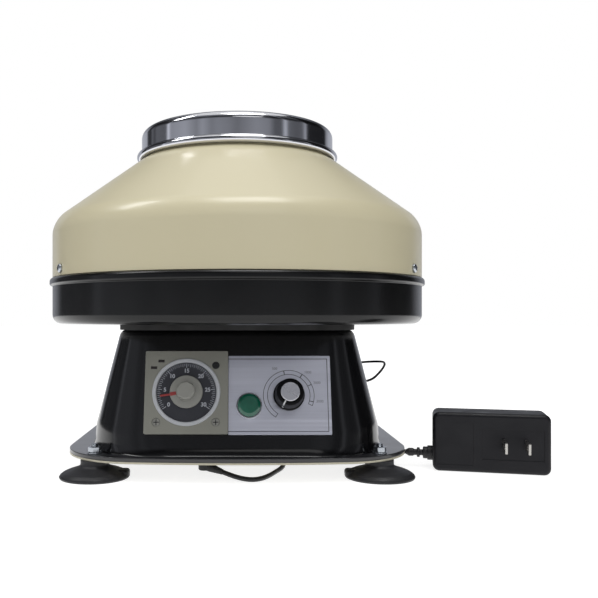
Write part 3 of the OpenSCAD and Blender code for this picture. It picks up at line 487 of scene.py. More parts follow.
CREAM = paint("cream_enamel", (0.72, 0.66, 0.455), rough=0.3, coat=0.2, peel=0.03, shade=0.985)
CREAM_SHEET = paint("cream_sheet", (0.70, 0.66, 0.52), rough=0.4, shade=0.96)
BOWL_BLACK = paint("bowl_enamel", (0.004, 0.0042, 0.0045), rough=0.22, shade=0.8, shine=0.35)
SHELL_BLACK = paint("shell_enamel", (0.0035, 0.0035, 0.0042), rough=0.15, shade=0.8, shine=0.5)
PLATE_GREY = paint("plate_enamel", (0.022, 0.022, 0.025), rough=0.3, coat=0.5)
LID_STEEL = spun_metal("polished_steel", (0.66, 0.665, 0.70), rough=0.1, pitch=700, strength=0.03)
ZINC = metal("zinc", (0.47, 0.5, 0.54), rough=0.28, scale=400)
PAD_RUBBER = plastic("pad_rubber", (0.012, 0.012, 0.012), rough=0.7)
FOOT_RUBBER = plastic("foot_rubber", (0.018, 0.018, 0.021), rough=0.5, grain=0.1)
TIMER_GREY = plastic("timer_case_plastic", (0.27, 0.27, 0.235), rough=0.5, grain=0.08)
TIMER_KNOB = plastic("timer_knob_plastic", (0.31, 0.31, 0.285), rough=0.42, grain=0.05)
TIMER_RING = plastic("timer_ring_plastic", (0.56, 0.58, 0.62), rough=0.3, grain=0.04)
DIAL_DARK = plastic("dial_print", (0.028, 0.03, 0.04), rough=0.6, grain=0.04)
DIAL_MARK = plastic("dial_marks", (0.5, 0.52, 0.58), rough=0.6, grain=0.02)
POINTER_RED = plastic("pointer_red", (0.36, 0.04, 0.04), rough=0.4, grain=0.03)
LAMP_DARK = plastic("lamp_window", (0.02, 0.015, 0.014), rough=0.2, grain=0.0, coat=0.5)
PRINT_BLACK = plastic("black_print", (0.02, 0.02, 0.025), rough=0.55, grain=0.02)
PRINT_FAINT = plastic("faint_print", (0.2, 0.2, 0.23), rough=0.55, grain=0.02)
FACE_METAL = metal("face_aluminium", (0.76, 0.77, 0.86), rough=0.42, stretch=(1, 60, 60), scale=12,
                   streak=0.08)
KNOB_BLACK = plastic("knob_plastic", (0.003, 0.003, 0.004), rough=0.5, grain=0.04, shine=0.1)
WHITE_LINE = plastic("white_line", (0.75, 0.76, 0.78), rough=0.5, grain=0.02)
CAP_METAL = spun_metal("knob_cap_metal", (0.8, 0.8, 0.84), rough=0.25, pitch=3000, strength=0.25,
                       matrix=on_panel(*KNOB_UV))
RING_METAL = metal("ring_metal", (0.52, 0.53, 0.55), rough=0.28, scale=300)
CORD_BLACK = plastic("cord_jacket", (0.009, 0.009, 0.01), rough=0.42, grain=0.06)
ADAPTER_BLACK = plastic("adapter_plastic", (0.006, 0.006, 0.009), rough=0.45, shine=0.3, grain=0.25,
                        grain_scale=900)
BLADE_METAL = metal("nickel", (0.5, 0.485, 0.46), rough=0.26, scale=300)
BEARING_STEEL = metal("bearing_steel", (0.62, 0.62, 0.64), rough=0.2, scale=300)
ROTOR_METAL = spun_metal("rotor_aluminium", (0.62, 0.63, 0.65), rough=0.3, pitch=1200, strength=0.12)
SHIELD_METAL = metal("shield_aluminium", (0.66, 0.67, 0.69), rough=0.3, stretch=(1, 1, 12), scale=40)
MOTOR_STEEL = metal("motor_steel", (0.42, 0.42, 0.44), rough=0.35, scale=120)
COPPER = metal("winding_copper", (0.5, 0.24, 0.1), rough=0.4, scale=500)
BOARD_GREEN = plastic("board_green", (0.02, 0.12, 0.05), rough=0.4, grain=0.1, coat=0.3)
BOARD_PARTS = plastic("board_parts", (0.03, 0.045, 0.12), rough=0.4, grain=0.05)
DARK_PLASTIC = plastic("dark_plastic", (0.02, 0.02, 0.022), rough=0.5)


def green_button():
    material = bpy.data.materials.new("button_green")
    n = Nodes(material)
    n.set(Base_Color=n.ramp(n.noise(120, 3), (0.004, 0.085, 0.05), (0.008, 0.13, 0.078)),
          Roughness=n.span(n.noise(90, 3), 0.16, 0.26), Coat_Weight=0.6, Coat_Roughness=0.06)
    n.set(Normal=n.bump(n.noise(700, 2), 0.06, 0.0001))
    return material


BUTTON_GREEN = green_button()


# The adapter's cord and the thin side wire

PLUG_END = (-8, -88.2, 4)
CORD_FRONT_ROUTE = [
    PLUG_END, (-5.4, -89.7, 3.3), (-1, -92.2, 2.3), (4, -94.6, 1.6), (9, -95.6, 1.4),
    (14, -92.4, 1.4), (18.5, -85, 1.4), (23, -74, 1.4), (27, -63, 1.4), (29, -52, 1.4), (28, -38, 1.5),
    (23.5, -24, 2.2), (18, -11, 3.7), (15, -1, 4.8), (14.5, 6.4, 5), (14.5, 9.2, 5)]
CORD_REAR_ROUTE = [
    (65.5, 9.2, 1.4), (65.5, 6.4, 1.4), (65.6, -2, 1.4), (67.5, -13, 1.4), (72, -24, 1.4),
    (78.5, -33, 1.6), (86.5, -39.6, 3.2), (94.5, -43.8, 6), (100, -46.1, 8.1), (103.8, -47.9, 8.9),
    (106.7, -48.7, 8.9)]
SIDE_WIRE_ROUTE = [
    (83.1, -30, 51.5), (86, -30, 52.2), (89, -28.6, 53.2), (92.5, -24.5, 55), (97.7, -16, 58.4),
    (101.2, -7.5, 61.2), (102, 1, 62.4), (99.8, 9, 62.3), (95, 18, 61.6), (90, 27, 60.6), (86.6, 34, 60),
    (84.6, 38.8, 59.9), (82.2, 41.6, 59.8), (79.9, 42, 59.2)]
COIL_CENTRE = Vector((40, 12, 1.4))
COIL_PITCH = 3.6
COIL_MID_R = 16.5
COIL_TURNS = 5
COIL_STEPS = 48


def smooth_route(points, steps):
    """The same smooth curve through all points as the CAD source draws."""
    points = [Vector(p) for p in points]
    out = []
    for i in range(len(points) - 1):
        a, b, c, d = (points[min(max(j, 0), len(points) - 1)] for j in range(i - 1, i + 3))
        for k in range(steps):
            t = k / steps
            out.append(0.5 * (2 * b + (c - a) * t + (2 * a - 5 * b + 4 * c - d) * t * t
                              + (3 * b - a - 3 * c + d) * t ** 3))
    out.append(points[-1])
    return out


def coil_points():
    """Winds inwards on the table, climbs in half a turn, and winds outwards on top."""
    inner = COIL_MID_R - COIL_PITCH * COIL_TURNS / 2
    outer = COIL_MID_R + COIL_PITCH * COIL_TURNS / 2
    turns = 2 * COIL_TURNS + 0.5
    count = round(turns * COIL_STEPS)
    points = []
    for i in range(count + 1):
        s = turns * i / count
        if s < COIL_TURNS:
            r = outer - COIL_PITCH * s
        else:
            r = inner + COIL_PITCH * max(0.0, s - COIL_TURNS - 0.5)
        lift = COIL_PITCH * min(1.0, max(0.0, (s - COIL_TURNS) * 2))
        points.append(COIL_CENTRE + Vector((r * cos(2 * pi * s), r * sin(2 * pi * s), lift)))
    return points


def round_wire(name, path, diameter, replaces):
    """Curve of one open line with a round section."""
    curve = bpy.data.curves.new(name, "CURVE")
    curve.dimensions = "3D"
    curve.bevel_depth = diameter / 2 * MM
    curve.bevel_resolution = 3
    curve.use_fill_caps = True
    line = curve.splines.new("POLY")
    line.points.add(len(path) - 1)
    for knot, place in zip(line.points, path):
        knot.co = (*(MM * place), 1)
    curve.materials.append(CORD_BLACK)
    made = linked(name, curve)
    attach(made, "base")
    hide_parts(*replaces.split())
    return made


def make_cords():
    path = (smooth_route(CORD_FRONT_ROUTE, 5)[:-1] + coil_points()[::-1]
            + smooth_route(CORD_REAR_ROUTE, 5)[1:])
    cord = round_wire("adapter_cord", path, CORD_D, "cord_front cord_coil cord_rear")
    loop = smooth_route(SIDE_WIRE_ROUTE, 6)
    wire_loop = round_wire("side_wire_loop", loop, SIDE_WIRE_D, "side_wire")


# Lid, cover and bowl

LID_EDGE_R = 5.4
LID_T = 1.0
FLOOR_Z = BOWL_Z + SHEET_T


def make_lid():
    top, low_z = LID_TOP_Z, RIM_Z - RIM_R
    out_r, in_r = MOUTH_R + RIM_R, MOUTH_R - RIM_R
    section = [
        (0, top), (LID_R, top, LID_EDGE_R), (LID_R, RIM_Z + RIM_R, 0.7), (out_r, RIM_Z + RIM_R, 2.48),
        (out_r, low_z, 2.48), (in_r, low_z, 2.3), (in_r, RIM_Z + 1.6, 0.5), (LID_R - LID_T, RIM_Z + 3.2, 0.5),
        (LID_R - LID_T, top - LID_T, LID_EDGE_R - LID_T), (0, top - LID_T)]
    piece("lid_cap_steel", turned(section, 192, 8), LID_STEEL, "lid_cap", body="lid")


def make_cover():
    inset = SHEET_T * (1 - sin(CONE_ANGLE)) / cos(CONE_ANGLE)
    in_r = BOWL_R - SHEET_T
    ceiling = MOUTH_Z - SHEET_T
    ceiling_r = MOUTH_R - inset + SHEET_T * 0.2
    collar_out = COLLAR_R + 1.3
    section = [
        (BOWL_R, COVER_Z, 0.3), (BOWL_R, CONE_LOW_Z, 16), (MOUTH_R, MOUTH_Z, 1.2), (collar_out, MOUTH_Z, 0.5),
        (collar_out, COLLAR_TOP_Z, 0.5), (COLLAR_R, COLLAR_TOP_Z, 0.5), (COLLAR_R, ceiling, 0.8),
        (ceiling_r, ceiling), (in_r, CONE_LOW_Z - inset, 14.5), (in_r, COVER_Z, 0.3)]
    piece("conical_cover", turned(section, 192, 8), CREAM, "top_cover")


def make_bowl():
    joint = COVER_Z - 0.1
    bead_r, bead_out = 2.6, BOWL_R + 1.88
    bead_low = joint - 2 * bead_r
    spigot_out, spigot_in = BOWL_R - 1.7, BOWL_R - 3.2
    spigot_top = joint + 9.5
    in_r = BOWL_R - SHEET_T
    hole_r, collar_top = 13, FLOOR_Z + 5
    section = [
        (hole_r, BOWL_Z), (BOWL_R, BOWL_Z, 5.7), (BOWL_R, bead_low, 0.6), (bead_out, bead_low, 1.85),
        (bead_out, joint, 2.55), (spigot_out, joint, 0.3), (spigot_out, spigot_top, 0.4),
        (spigot_in, spigot_top, 0.4), (spigot_in, bead_low, 0.4), (in_r, bead_low - 1.5, 0.5),
        (in_r, FLOOR_Z, 4.2), (hole_r + SHEET_T, FLOOR_Z, 0.6), (hole_r + SHEET_T, collar_top, 0.4),
        (hole_r, collar_top, 0.4)]
    piece("bowl_pan", turned(section, 192, 7), BOWL_BLACK, "bowl")
    pad = raised([rounded_rect(73, WALL_HALF_D - HOUSING_H * tan(LEAN) + 1, 26), circle(14)], GASKET_Z,
                 BOWL_Z - GASKET_Z, 0.5)
    piece("bowl_pad", pad, PAD_RUBBER, "bowl_gasket")


def crossed(length, half_w, low_z, high_z):
    """Two crossed blocks, for a recess or a print."""
    return [block((-length / 2, -half_w, low_z), (length / 2, half_w, high_z)),
            block((-half_w, -length / 2, low_z), (half_w, length / 2, high_z))]


def pan_head_screw(head_r, head_h, shank_r, shank_l, cross):
    """Screw along Z with its head above 0 and a cross recess."""
    body = turned([(0, -shank_l), (shank_r, -shank_l, 0.3), (shank_r, 0), (head_r, 0, 0.15),
                   (head_r, head_h * 0.6, head_h * 0.35), (head_r * 0.6, head_h, head_h * 0.5),
                   (0, head_h)], 40, 4)
    return carved(body, crossed(cross, 0.3, head_h * 0.45, head_h + 1))


def make_cover_screws():
    screw = pan_head_screw(2.8, 2.0, 1.5, 6.0, 3.2)
    places = [Matrix.Rotation(radians(turn), 4, "Z") @ shift((BOWL_R, 0, COVER_Z + 4.2))
              @ Matrix.Rotation(pi / 2, 4, "Y") @ Matrix.Rotation(radians(20), 4, "Z")
              for turn in (-30, -150, 90)]
    piece("skirt_screws", joined([(screw, place) for place in places]), ZINC, "cover_screws")
    screw.free()


# Housing, plates and feet


def housing_ring(h, grow=0.0):
    """Outline of the housing at a height above its bottom, and that height."""
    corner = 48 - 22 * (h - FILLET_H) / (HOUSING_H - SHOULDER_R - FILLET_H)
    half_d = WALL_HALF_D - h * tan(LEAN)
    return rounded_rect(housing_half_w(h) + grow, half_d + grow, corner + grow, 14), HOUSING_Z + h


def make_housing():
    wall, flange_w, flange_t = 2.0, 1.5, 1.0
    top_low = HOUSING_H - SHOULDER_R
    rings = [housing_ring(0.01, flange_w), housing_ring(flange_t - 0.3, flange_w),
             housing_ring(flange_t, flange_w * 0.8)]
    for share in (0.15, 0.35, 0.6, 0.8, 1.0):
        rings.append(housing_ring(flange_t + (FILLET_H - flange_t) * share,
                                  flange_w * 0.8 * (1 - share) ** 2))
    rings += [housing_ring(h) for h in (SKIRT_H - 2.5, SKIRT_H, SKIRT_H + 2.5, top_low)]
    for step in range(1, 6):
        angle = pi / 2 * step / 5
        rings.append(housing_ring(top_low + SHOULDER_R * sin(angle), -0.75 * SHOULDER_R * (1 - cos(angle))))
    rings += [(rounded_rect(14, 14, 13.99, 14), HOUSING_Z + h) for h in (HOUSING_H, HOUSING_H - 2.5)]
    rings.append(housing_ring(HOUSING_H - 2.5, -wall - 1.6))
    rings += [housing_ring(h, -wall) for h in (top_low - 2, SKIRT_H, FILLET_H)]
    rings.append(housing_ring(0.01, -wall))
    shell = stacked(rings, closed=True)
    half = 22.6
    cutters = [placed(*cut) for cut in (
        (block((-half, -half, -6), (half, half, 6)), on_panel(*TIMER_UV)),
        (prism(40, KNOB_HOLE_R, -6, 12), on_panel(*KNOB_UV)),
        (prism(40, BUTTON_HOLE_R, -6, 12), on_panel(*BUTTON_UV)),
        (prism(32, 3.8, -6, 12), on_side(*SOCKET_AT)),
        (prism(32, 2.8, -6, 12), on_side(*GROMMET_AT)))]
    piece("housing_shell", carved(shell, cutters), SHELL_BLACK, "housing", crease=28)


PLATE_HALF_W, PLATE_HALF_D = 104.0, 101.0
PLATE_CORNER_R = 46.0
PLATE_BOW_R = 600.0


def plate_outline():
    """Straight sides, bowed front and back, and large round corners that meet them smoothly."""
    cx = PLATE_HALF_W - PLATE_CORNER_R
    bow_c = PLATE_BOW_R - PLATE_HALF_D
    cy = sqrt((PLATE_BOW_R - PLATE_CORNER_R) ** 2 - cx ** 2) - bow_c
    lean = atan2(cx, cy + bow_c) * 180 / pi
    points = []
    for turn in (0, 180):
        half = arc(cx, cy, PLATE_CORNER_R, 0, 90 - lean, 20)
        half += arc(0, -bow_c, PLATE_BOW_R, 90 - lean, 90 + lean, 16)[1:-1]
        half += arc(-cx, cy, PLATE_CORNER_R, 90 + lean, 180, 20)
        points += [(x * cos(radians(turn)), y * cos(radians(turn))) for x, y in half]
    return points


def around(x, y, r):
    """Circles at four mirrored places."""
    return [circle(r, 24, i * x, j * y) for i in (-1, 1) for j in (-1, 1)]


def make_plates():
    holes = around(FEET_X, FEET_Y, 2.2) + around(*BASE_SCREWS, 1.7)
    window = rounded_rect(74, 90.5, 34)
    upper = raised([plate_outline(), window, *holes], BASE_Z, HOUSING_Z - BASE_Z, 0.45, 3)
    piece("foot_plate", upper, PLATE_GREY, "base_plate")
    jack_hole = circle(5.2, 32, *JACK_XY)
    lower = raised([plate_outline(), jack_hole, *holes], BOTTOM_Z, BASE_Z - BOTTOM_Z, 0.25)
    piece("under_plate", lower, CREAM_SHEET, "bottom_plate")


def make_feet():
    section = [
        (0, 2.5), (6.2, 2.5, 1), (17.7, 0, 0.4), (20, 0, 0.3), (20.6, 1, 0.6), (19.9, 2.2, 2),
        (18.1, 3.5, 4), (15.2, 4.7, 6), (9.6, 6.5, 2), (8.2, 7.6, 1.4), (8.2, BOTTOM_Z, 0.2),
        (2.1, BOTTOM_Z), (2.1, 6.8), (0, 6.8)]
    cup = turned(section, 96, 4)
    ear = block((11, -5, 0.3), (20.4, 5, 4.9), 1.9, 4)
    for name, x, y in (("foot_front_left", -1, -1), ("foot_front_right", 1, -1),
                       ("foot_rear_left", -1, 1), ("foot_rear_right", 1, 1)):
        parts = joined([here(cup), (ear, Matrix.Rotation(pi if x > 0 else 0, 4, "Z"))])
        piece("rubber_" + name, parts, FOOT_RUBBER, name,
              shift((x * FEET_X, y * FEET_Y, 0)))
    cup.free()
    ear.free()


def make_studs():
    washer_t, nut_h, beyond = 0.8, 3.2, 1.8
    top = HOUSING_Z + washer_t + nut_h + beyond
    pitch, turns = 0.7, 5
    thread = [point for k in range(turns)
              for point in ((1.7, top - 0.5 - pitch * k), (2.0, top - 0.85 - pitch * k))]
    stud = turned([(0, 6.7), (2.0, 6.7, 0.2), *reversed(thread), (1.5, top), (0, top)], 32, 3)
    washer = turned([(2.1, 0), (4.2, 0, 0.2), (4.2, washer_t, 0.25), (2.1, washer_t)], 40, 3)
    nut = carved(prism(6, 4.03, 0.85, 3.15, 0.35), [prism(32, 2.0, -1, 8)])
    nuts, studs = [], []
    for i, (x, y) in enumerate([(-1, -1), (1, -1), (-1, 1), (1, 1)]):
        place = shift((x * FEET_X, y * FEET_Y, 0))
        studs.append((stud, place))
        for part in (washer, nut):
            nuts.append((part, place @ shift((0, 0, HOUSING_Z)) @ clockwise(17 * i + 8)))
    piece("feet_studs", joined(studs), ZINC, "foot_studs")
    piece("feet_nuts", joined(nuts), ZINC, "foot_nuts")
    for part in (stud, washer, nut):
        part.free()


# Timer

BEZEL_T = 3.5
DIAL_W = 3.1
DIAL_SWEEP = 252
DIAL_UNITS = 30
POINTER_TURN = -99
LAMPS_UV = ((-14.7, 18.1), (-18.9, 14.2))
RANGE_UV, MODE_UV, UNIT_UV = (-17, -17.3), (17, -17.3), (16.9, 15.6)


def timer_piece(name, bm, material, body="base", replaces="", slot="timer_grey", u=0.0, v=0.0):
    piece(name, bm, material, replaces, on_panel(TIMER_UV[0] + u, TIMER_UV[1] + v), body)


def make_timer_bezel():
    half, ring_in, ring_out = 24, 17.3, 19.6
    plate = raised([rounded_rect(half, half, 0.8, 4)], 0, BEZEL_T, 0.5, 3)
    cutters = [prism(96, 18.2, 2.3, 5), prism(32, 3.1, -1, 5)]
    for place, r in ((RANGE_UV, 2.4), (MODE_UV, 2.4), (UNIT_UV, 2.2)):
        cutters.append(placed(prism(32, r, 1, 5), shift((*place, 0))))
    cutters += [block((x - 1.82, y - 0.82, 2.4), (x + 1.82, y + 0.82, 6)) for x, y in LAMPS_UV]
    timer_piece("timer_front", carved(plate, cutters), TIMER_GREY, replaces="timer_bezel")
    ring = turned([(ring_in, 2.35), (ring_out, 2.35), (ring_out, 4.3, 0.6), (ring_in + 0.4, 4.3, 0.5),
                   (ring_in, 3.6, 0.3)], AROUND, 4)
    timer_piece("timer_dial_ring", ring, TIMER_RING)


def make_dial():
    disc = turned([(3.1, 2.3), (17.2, 2.3), (17.2, DIAL_W, 0.1), (3.1, DIAL_W)], AROUND, 2)
    timer_piece("timer_scale_disc", disc, DIAL_DARK, replaces="timer_dial", slot="dial_dark")
    marks = []
    for k in range(2 * DIAL_UNITS + 1):
        long_mark = k % 10 == 0
        inner, half_width = (14.2, 0.16) if long_mark else (15.2 if k % 2 else 14.7, 0.11)
        mark = block((-half_width, inner, DIAL_W - 0.05), (half_width, 16.8, DIAL_W + 0.04))
        marks.append((mark, clockwise(-DIAL_SWEEP / 2 + DIAL_SWEEP * k / (2 * DIAL_UNITS))))
    numbers = []
    for k in range(DIAL_UNITS // 5 + 1):
        turn = radians(90 + DIAL_SWEEP / 2 - DIAL_SWEEP * k / (DIAL_UNITS // 5))
        place = (12.4 * cos(turn), 12.4 * sin(turn), DIAL_W + 0.02)
        numbers.append(here(lettering(str(5 * k), 2.3, place, 0.04, 0.09)))
    timer_piece("timer_scale_marks", joined(marks + numbers), DIAL_MARK, slot="dial_dark")


def make_timer_knob():
    w = 3.4
    disc = turned([(0, w - 6), (3, w - 6), (3, w), (9.5, w, 0.2), (9.5, w + 1.6, 0.5), (5.0, w + 2.0),
                   (0, w + 2.0)], 96, 3)
    grip = prism(8, 5.9, w + 1.5, 5.1)
    for vert in grip.verts:
        if vert.co.z > w + 4:
            vert.co.xy *= 0.93
    soften(grip, 1.1, 4, 20)
    timer_piece("timer_knob_moulding", joined([here(disc), (grip, clockwise(10))]), TIMER_KNOB,
                "timer_setting", "timer_knob", "timer_knob_grey")
    near = block((-1.05, 5.6, w + 1.3), (1.05, 9.3, w + 1.95), 0.2)
    far = block((-0.55, 8.9, w + 0.1), (0.55, 15.2, w + 1.2), 0.25)
    hand = joined([(part, clockwise(POINTER_TURN)) for part in (near, far)])
    timer_piece("timer_hand", hand, POINTER_RED, "timer_setting", "timer_pointer", "pointer_red")


def make_timer_small_parts():
    for name, place, r, material, slot in (
            ("range", RANGE_UV, 2.3, TIMER_KNOB, "timer_grey"),
            ("mode", MODE_UV, 2.3, TIMER_KNOB, "timer_grey"),
            ("unit", UNIT_UV, 2.1, DARK_PLASTIC, "black_plastic")):
        body = name + "_screw"
        head = turned([(0, 1.02), (r, 1.02), (r, 3.2, 0.25), (0, 3.2)], 40, 3)
        head = carved(head, crossed(2 * (r - 0.4), 0.3, 2.5, 4))
        timer_piece("setting_screw_" + name, head, material, body, "timer_%s_selector" % name, slot, *place)
        if name != "unit":
            cross = joined([here(part) for part in crossed(3, 0.22, 2.45, 2.6)])
            timer_piece("setting_slot_" + name, cross, PRINT_BLACK, body, "", slot, *place)
    lamps = [here(block((x - 1.8, y - 0.8, 2.5), (x + 1.8, y + 0.8, 3.45), 0.2)) for x, y in LAMPS_UV]
    timer_piece("timer_lamp_windows", joined(lamps), LAMP_DARK, replaces="timer_lamps", slot="lamp_dark")


# Face plate, speed knob and button

FACE_T = 1.0
PRINT_T = 0.03
SCALE_R = (12.3, 14.7)
SCALE_TURNS = (-149, 114)
LINE_TURN = -152


def printed(points):
    """Thin print of an outline on the face plate."""
    return here(raised([points], FACE_T - 0.02, PRINT_T + 0.02))


def clock_arc(r, start, end, steps):
    """Arc round the speed knob between two turns counted clockwise from the top."""
    return arc(*KNOB_UV, r, 90 - start, 90 - end, steps)


def make_face_plate():
    middle = ((PLATE_U[0] + PLATE_U[1]) / 2, (PLATE_V[0] + PLATE_V[1]) / 2)
    half = ((PLATE_U[1] - PLATE_U[0]) / 2, (PLATE_V[1] - PLATE_V[0]) / 2)
    outline = rounded_rect(*half, 0.5, 3, *middle)
    holes = [circle(KNOB_HOLE_R, 32, *KNOB_UV), circle(BUTTON_HOLE_R, 40, *BUTTON_UV)]
    plate = raised([outline, *holes], 0.02, FACE_T - 0.02, 0.15)
    piece("control_plate", plate, FACE_METAL, "face_plate", on_panel())
    line, inset = 0.34, 1.7
    left, right = PLATE_U[0], PLATE_U[1] - inset
    low_v, high_v = PLATE_V[0] + inset, PLATE_V[1] - inset
    border = [(left, high_v), (right, high_v), (right, low_v), (left, low_v), (left, low_v + line),
              (right - line, low_v + line), (right - line, high_v - line), (left, high_v - line)]
    prints = [printed(border)]
    for r in SCALE_R:
        prints.append(printed(clock_arc(r + 0.15, *SCALE_TURNS, 72)
                              + clock_arc(r - 0.15, *reversed(SCALE_TURNS), 72)))
    for turn, half_turn in ((-148.5, 0.6), (-10.8, 1.0), (32.9, 1.0), (64, 0.9), (105, 0.9), (113.5, 0.6)):
        prints.append(printed(clock_arc(SCALE_R[1], turn - half_turn, turn + half_turn, 3)
                              + clock_arc(SCALE_R[0], turn + half_turn, turn - half_turn, 3)))
    piece("control_plate_lines", joined(prints), PRINT_BLACK, "", on_panel())
    numbers = []
    for text, turn, r in (("500", -27, 17.6), ("1000", 40, 17.6), ("2000", 66, 18.0), ("3000", 101, 18.2)):
        place = clock_arc(r, turn, turn + 1, 1)[0]
        numbers.append(here(lettering(text, 1.5, (*place, FACE_T + 0.01))))
    piece("control_plate_numbers", joined(numbers), PRINT_FAINT, "", on_panel())


def ribbed(bm, low_z, high_z, inner_r, ribs, depth):
    """Cuts ribs along Z into the outside, between two heights."""
    for vert in bm.verts:
        if low_z < vert.co.z < high_z and vert.co.xy.length > inner_r:
            vert.co.xy *= 1 - depth * (1 + cos(ribs * atan2(vert.co.y, vert.co.x)))


def make_speed_knob():
    w, place = 1.5, on_panel(*KNOB_UV)
    body = turned([(SHAFT_BORE_R, w), (9, w, 0.3), (9, w + 3, 0.6), (8.4, w + 3.1, 0.2), (7.6, w + 13.6, 1.0),
                   (5.45, w + 13.6, 0.15), (5.45, w + 12.6), (SHAFT_BORE_R, w + 12.6)], 144, 4)
    ribbed(body, w + 3.4, w + 12.8, 7, 36, 0.012)
    piece("speed_knob_body", body, KNOB_BLACK, "speed_knob", place, "speed_control")
    cap = turned([(0, w + 12.6), (5.4, w + 12.6), (5.4, w + 14.0, 0.35), (0, w + 14.0)], 96, 4)
    piece("speed_knob_disc", cap, CAP_METAL, "speed_knob_cap", place, "speed_control")
    strips = ((5.6, w + 13.3, 7.5, w + 13.64), (7.2, w + 3.6, 8.5, w + 5), (7.2, w + 4.5, 8.0, w + 13.3))
    mark = joined([(block((-0.42, near, below), (0.42, far, above), 0.1), clockwise(LINE_TURN))
                   for near, below, far, above in strips])
    piece("speed_knob_line", mark, WHITE_LINE, "", place, "speed_control")


def make_button():
    w, place = 2.6, on_panel(*BUTTON_UV)
    button = turned([(0, w - 9), (2.8, w - 9, 0.2), (2.8, w), (6.6, w, 0.1), (6.6, w + 1.8, 0.8),
                     (5.0, w + 3, 1.6), (0, w + 3)], 72, 5)
    piece("green_button", button, BUTTON_GREEN, "start_button", place, "button")
    ring = turned([(6.9, 1.0), (7.4, 1.0, 0.1), (7.4, 3, 0.2), (6.9, 3, 0.15)], 72, 3)
    piece("button_ring", ring, RING_METAL, "button_bezel", place)


# Side fittings, plug and adapter


def make_side_fittings():
    nut = turned([(0, -8), (3.6, -8, 0.2), (3.6, 0.02), (4.5, 0.02, 0.15), (4.5, 2.6, 0.4), (3.0, 2.6, 0.2),
                  (3.0, 1.4), (0, 1.4)], 48, 3)
    piece("side_socket", nut, RING_METAL, "side_connector", on_side(*SOCKET_AT))
    collar = turned([(1.7, -5), (2.6, -5), (2.6, 0.02), (3.4, 0.02, 0.2), (3.4, 1.4, 0.5),
                     (1.7, 1.4, 0.3)], 40, 4)
    piece("side_grommet", collar, DARK_PLASTIC, "wire_grommet", on_side(*GROMMET_AT))


def make_plug():
    body = turned([(0, 4.2), (3.8, 4.2, 0.8), (3.8, 10.4, 0.3), (2.75, 10.4), (2.75, 19.4, 0.3),
                   (0, 19.4)], 48, 4)
    start, end = Vector((*JACK_XY, 6.8)), Vector(PLUG_END)
    run = end - start
    ribs = [(2.6 - 1.0 * (k + side) / 8, run.length * (0.35 + 0.65 * (k + side * 0.6) / 8))
            for k in range(8) for side in (0, 1)]
    handle = turned([(0, 0), (2.6, 0, 0.3), *[(r - 0.25 * (i % 2), z) for i, (r, z) in enumerate(ribs)],
                     (0, run.length)], 32, 3)
    turn = Vector((0, 0, 1)).rotation_difference(run).to_matrix().to_4x4()
    parts = joined([(body, shift((*JACK_XY, 0))), (handle, shift(start) @ turn)])
    piece("elbow_plug", parts, DARK_PLASTIC, "dc_plug")


ADAPTER_L, ADAPTER_H, ADAPTER_D = 68.0, 36.0, 26.0
CORD_OUTLET_Z = 8.9
BLADES_MID, BLADES_APART = (47.4, 18), 12.7
BLADE_T, BLADE_W, BLADE_L = 1.5, 6.34, 16.5


def adapter_ring(y, grow):
    """Outline of the adapter seen from the front, at a depth."""
    half_l, half_h = ADAPTER_L / 2, ADAPTER_H / 2
    return rounded_rect(half_l + grow, half_h + grow, 4 + grow, 8, half_l, half_h), y


def make_adapter():
    lips = [(0.0, -2.4), (0.3, -1.5), (0.9, -0.7), (1.7, -0.2), (2.6, 0.0)]
    rings = [adapter_ring(y, grow) for y, grow in lips]
    rings += [adapter_ring(ADAPTER_D - y, grow) for y, grow in reversed(lips)]
    body = stacked(rings)
    for edges_at in (0.0, ADAPTER_D):
        rim = [e for e in body.edges if len(e.link_faces) == 1 and abs(e.verts[0].co.z - edges_at) < 1e-6]
        bmesh.ops.contextual_create(body, geom=rim)
    bmesh.ops.transform(body, matrix=Matrix.Rotation(pi / 2, 4, "X"), verts=body.verts)
    bmesh.ops.scale(body, vec=(1, -1, 1), verts=body.verts)
    label = block((2.6, -1, 4.3), (24, 0.35, 30.3), 0.15)
    socket = block((28.7, -1, 8.3), (64.2, 0.5, 26.7), 0.2)
    seam = block((-1, 15.8, -1), (ADAPTER_L + 1, 16.1, 0.3))
    piece("adapter_shell", carved(body, [label, socket, seam]), ADAPTER_BLACK, "adapter_case",
          on_adapter(), crease=40)
    tip = 16.2
    relief = turned([
        (0, 0), (4.5, 0, 0.2), (4.5, 3.1, 0.4), (3.7, 3.2), (3.7, 5.7, 0.5), (1.9, 6.0, 0.2),
        (1.9, 7.6, 0.2), (3.05, 7.8, 0.4), (3.05, 9.4, 0.4), (1.9, 9.6, 0.2), (1.9, 11.0, 0.2),
        (2.5, 12.0, 0.8), (2.5, 14.4, 0.9), (1.5, tip), (0, tip)], 48, 4)
    piece("adapter_cord_relief", relief, DARK_PLASTIC, "adapter_strain_relief",
          on_adapter(-0.02, ADAPTER_D / 2, CORD_OUTLET_Z) @ Matrix.Rotation(-pi / 2, 4, "Y"))
    blades = []
    mid_x, mid_z = BLADES_MID
    for x in (mid_x - BLADES_APART / 2, mid_x + BLADES_APART / 2):
        hole = shift((x, -12.5, mid_z)) @ Matrix.Rotation(pi / 2, 4, "Y")
        blade = block((x - BLADE_T / 2, -BLADE_L, mid_z - BLADE_W / 2),
                      (x + BLADE_T / 2, 0.4, mid_z + BLADE_W / 2), 0.3)
        blades.append(here(carved(blade, [placed(prism(24, 1.6, -3, 6), hole)])))
    piece("plug_blades", joined(blades), BLADE_METAL, "adapter_blades", on_adapter())


# Rotor, shields and what the case hides

SHIELD_ANGLE = radians(45)
SHIELD_RING_R = 50
SHIELD_MID_Z = FLOOR_Z + 69
SHIELD_R, SHIELD_L = 9, 80


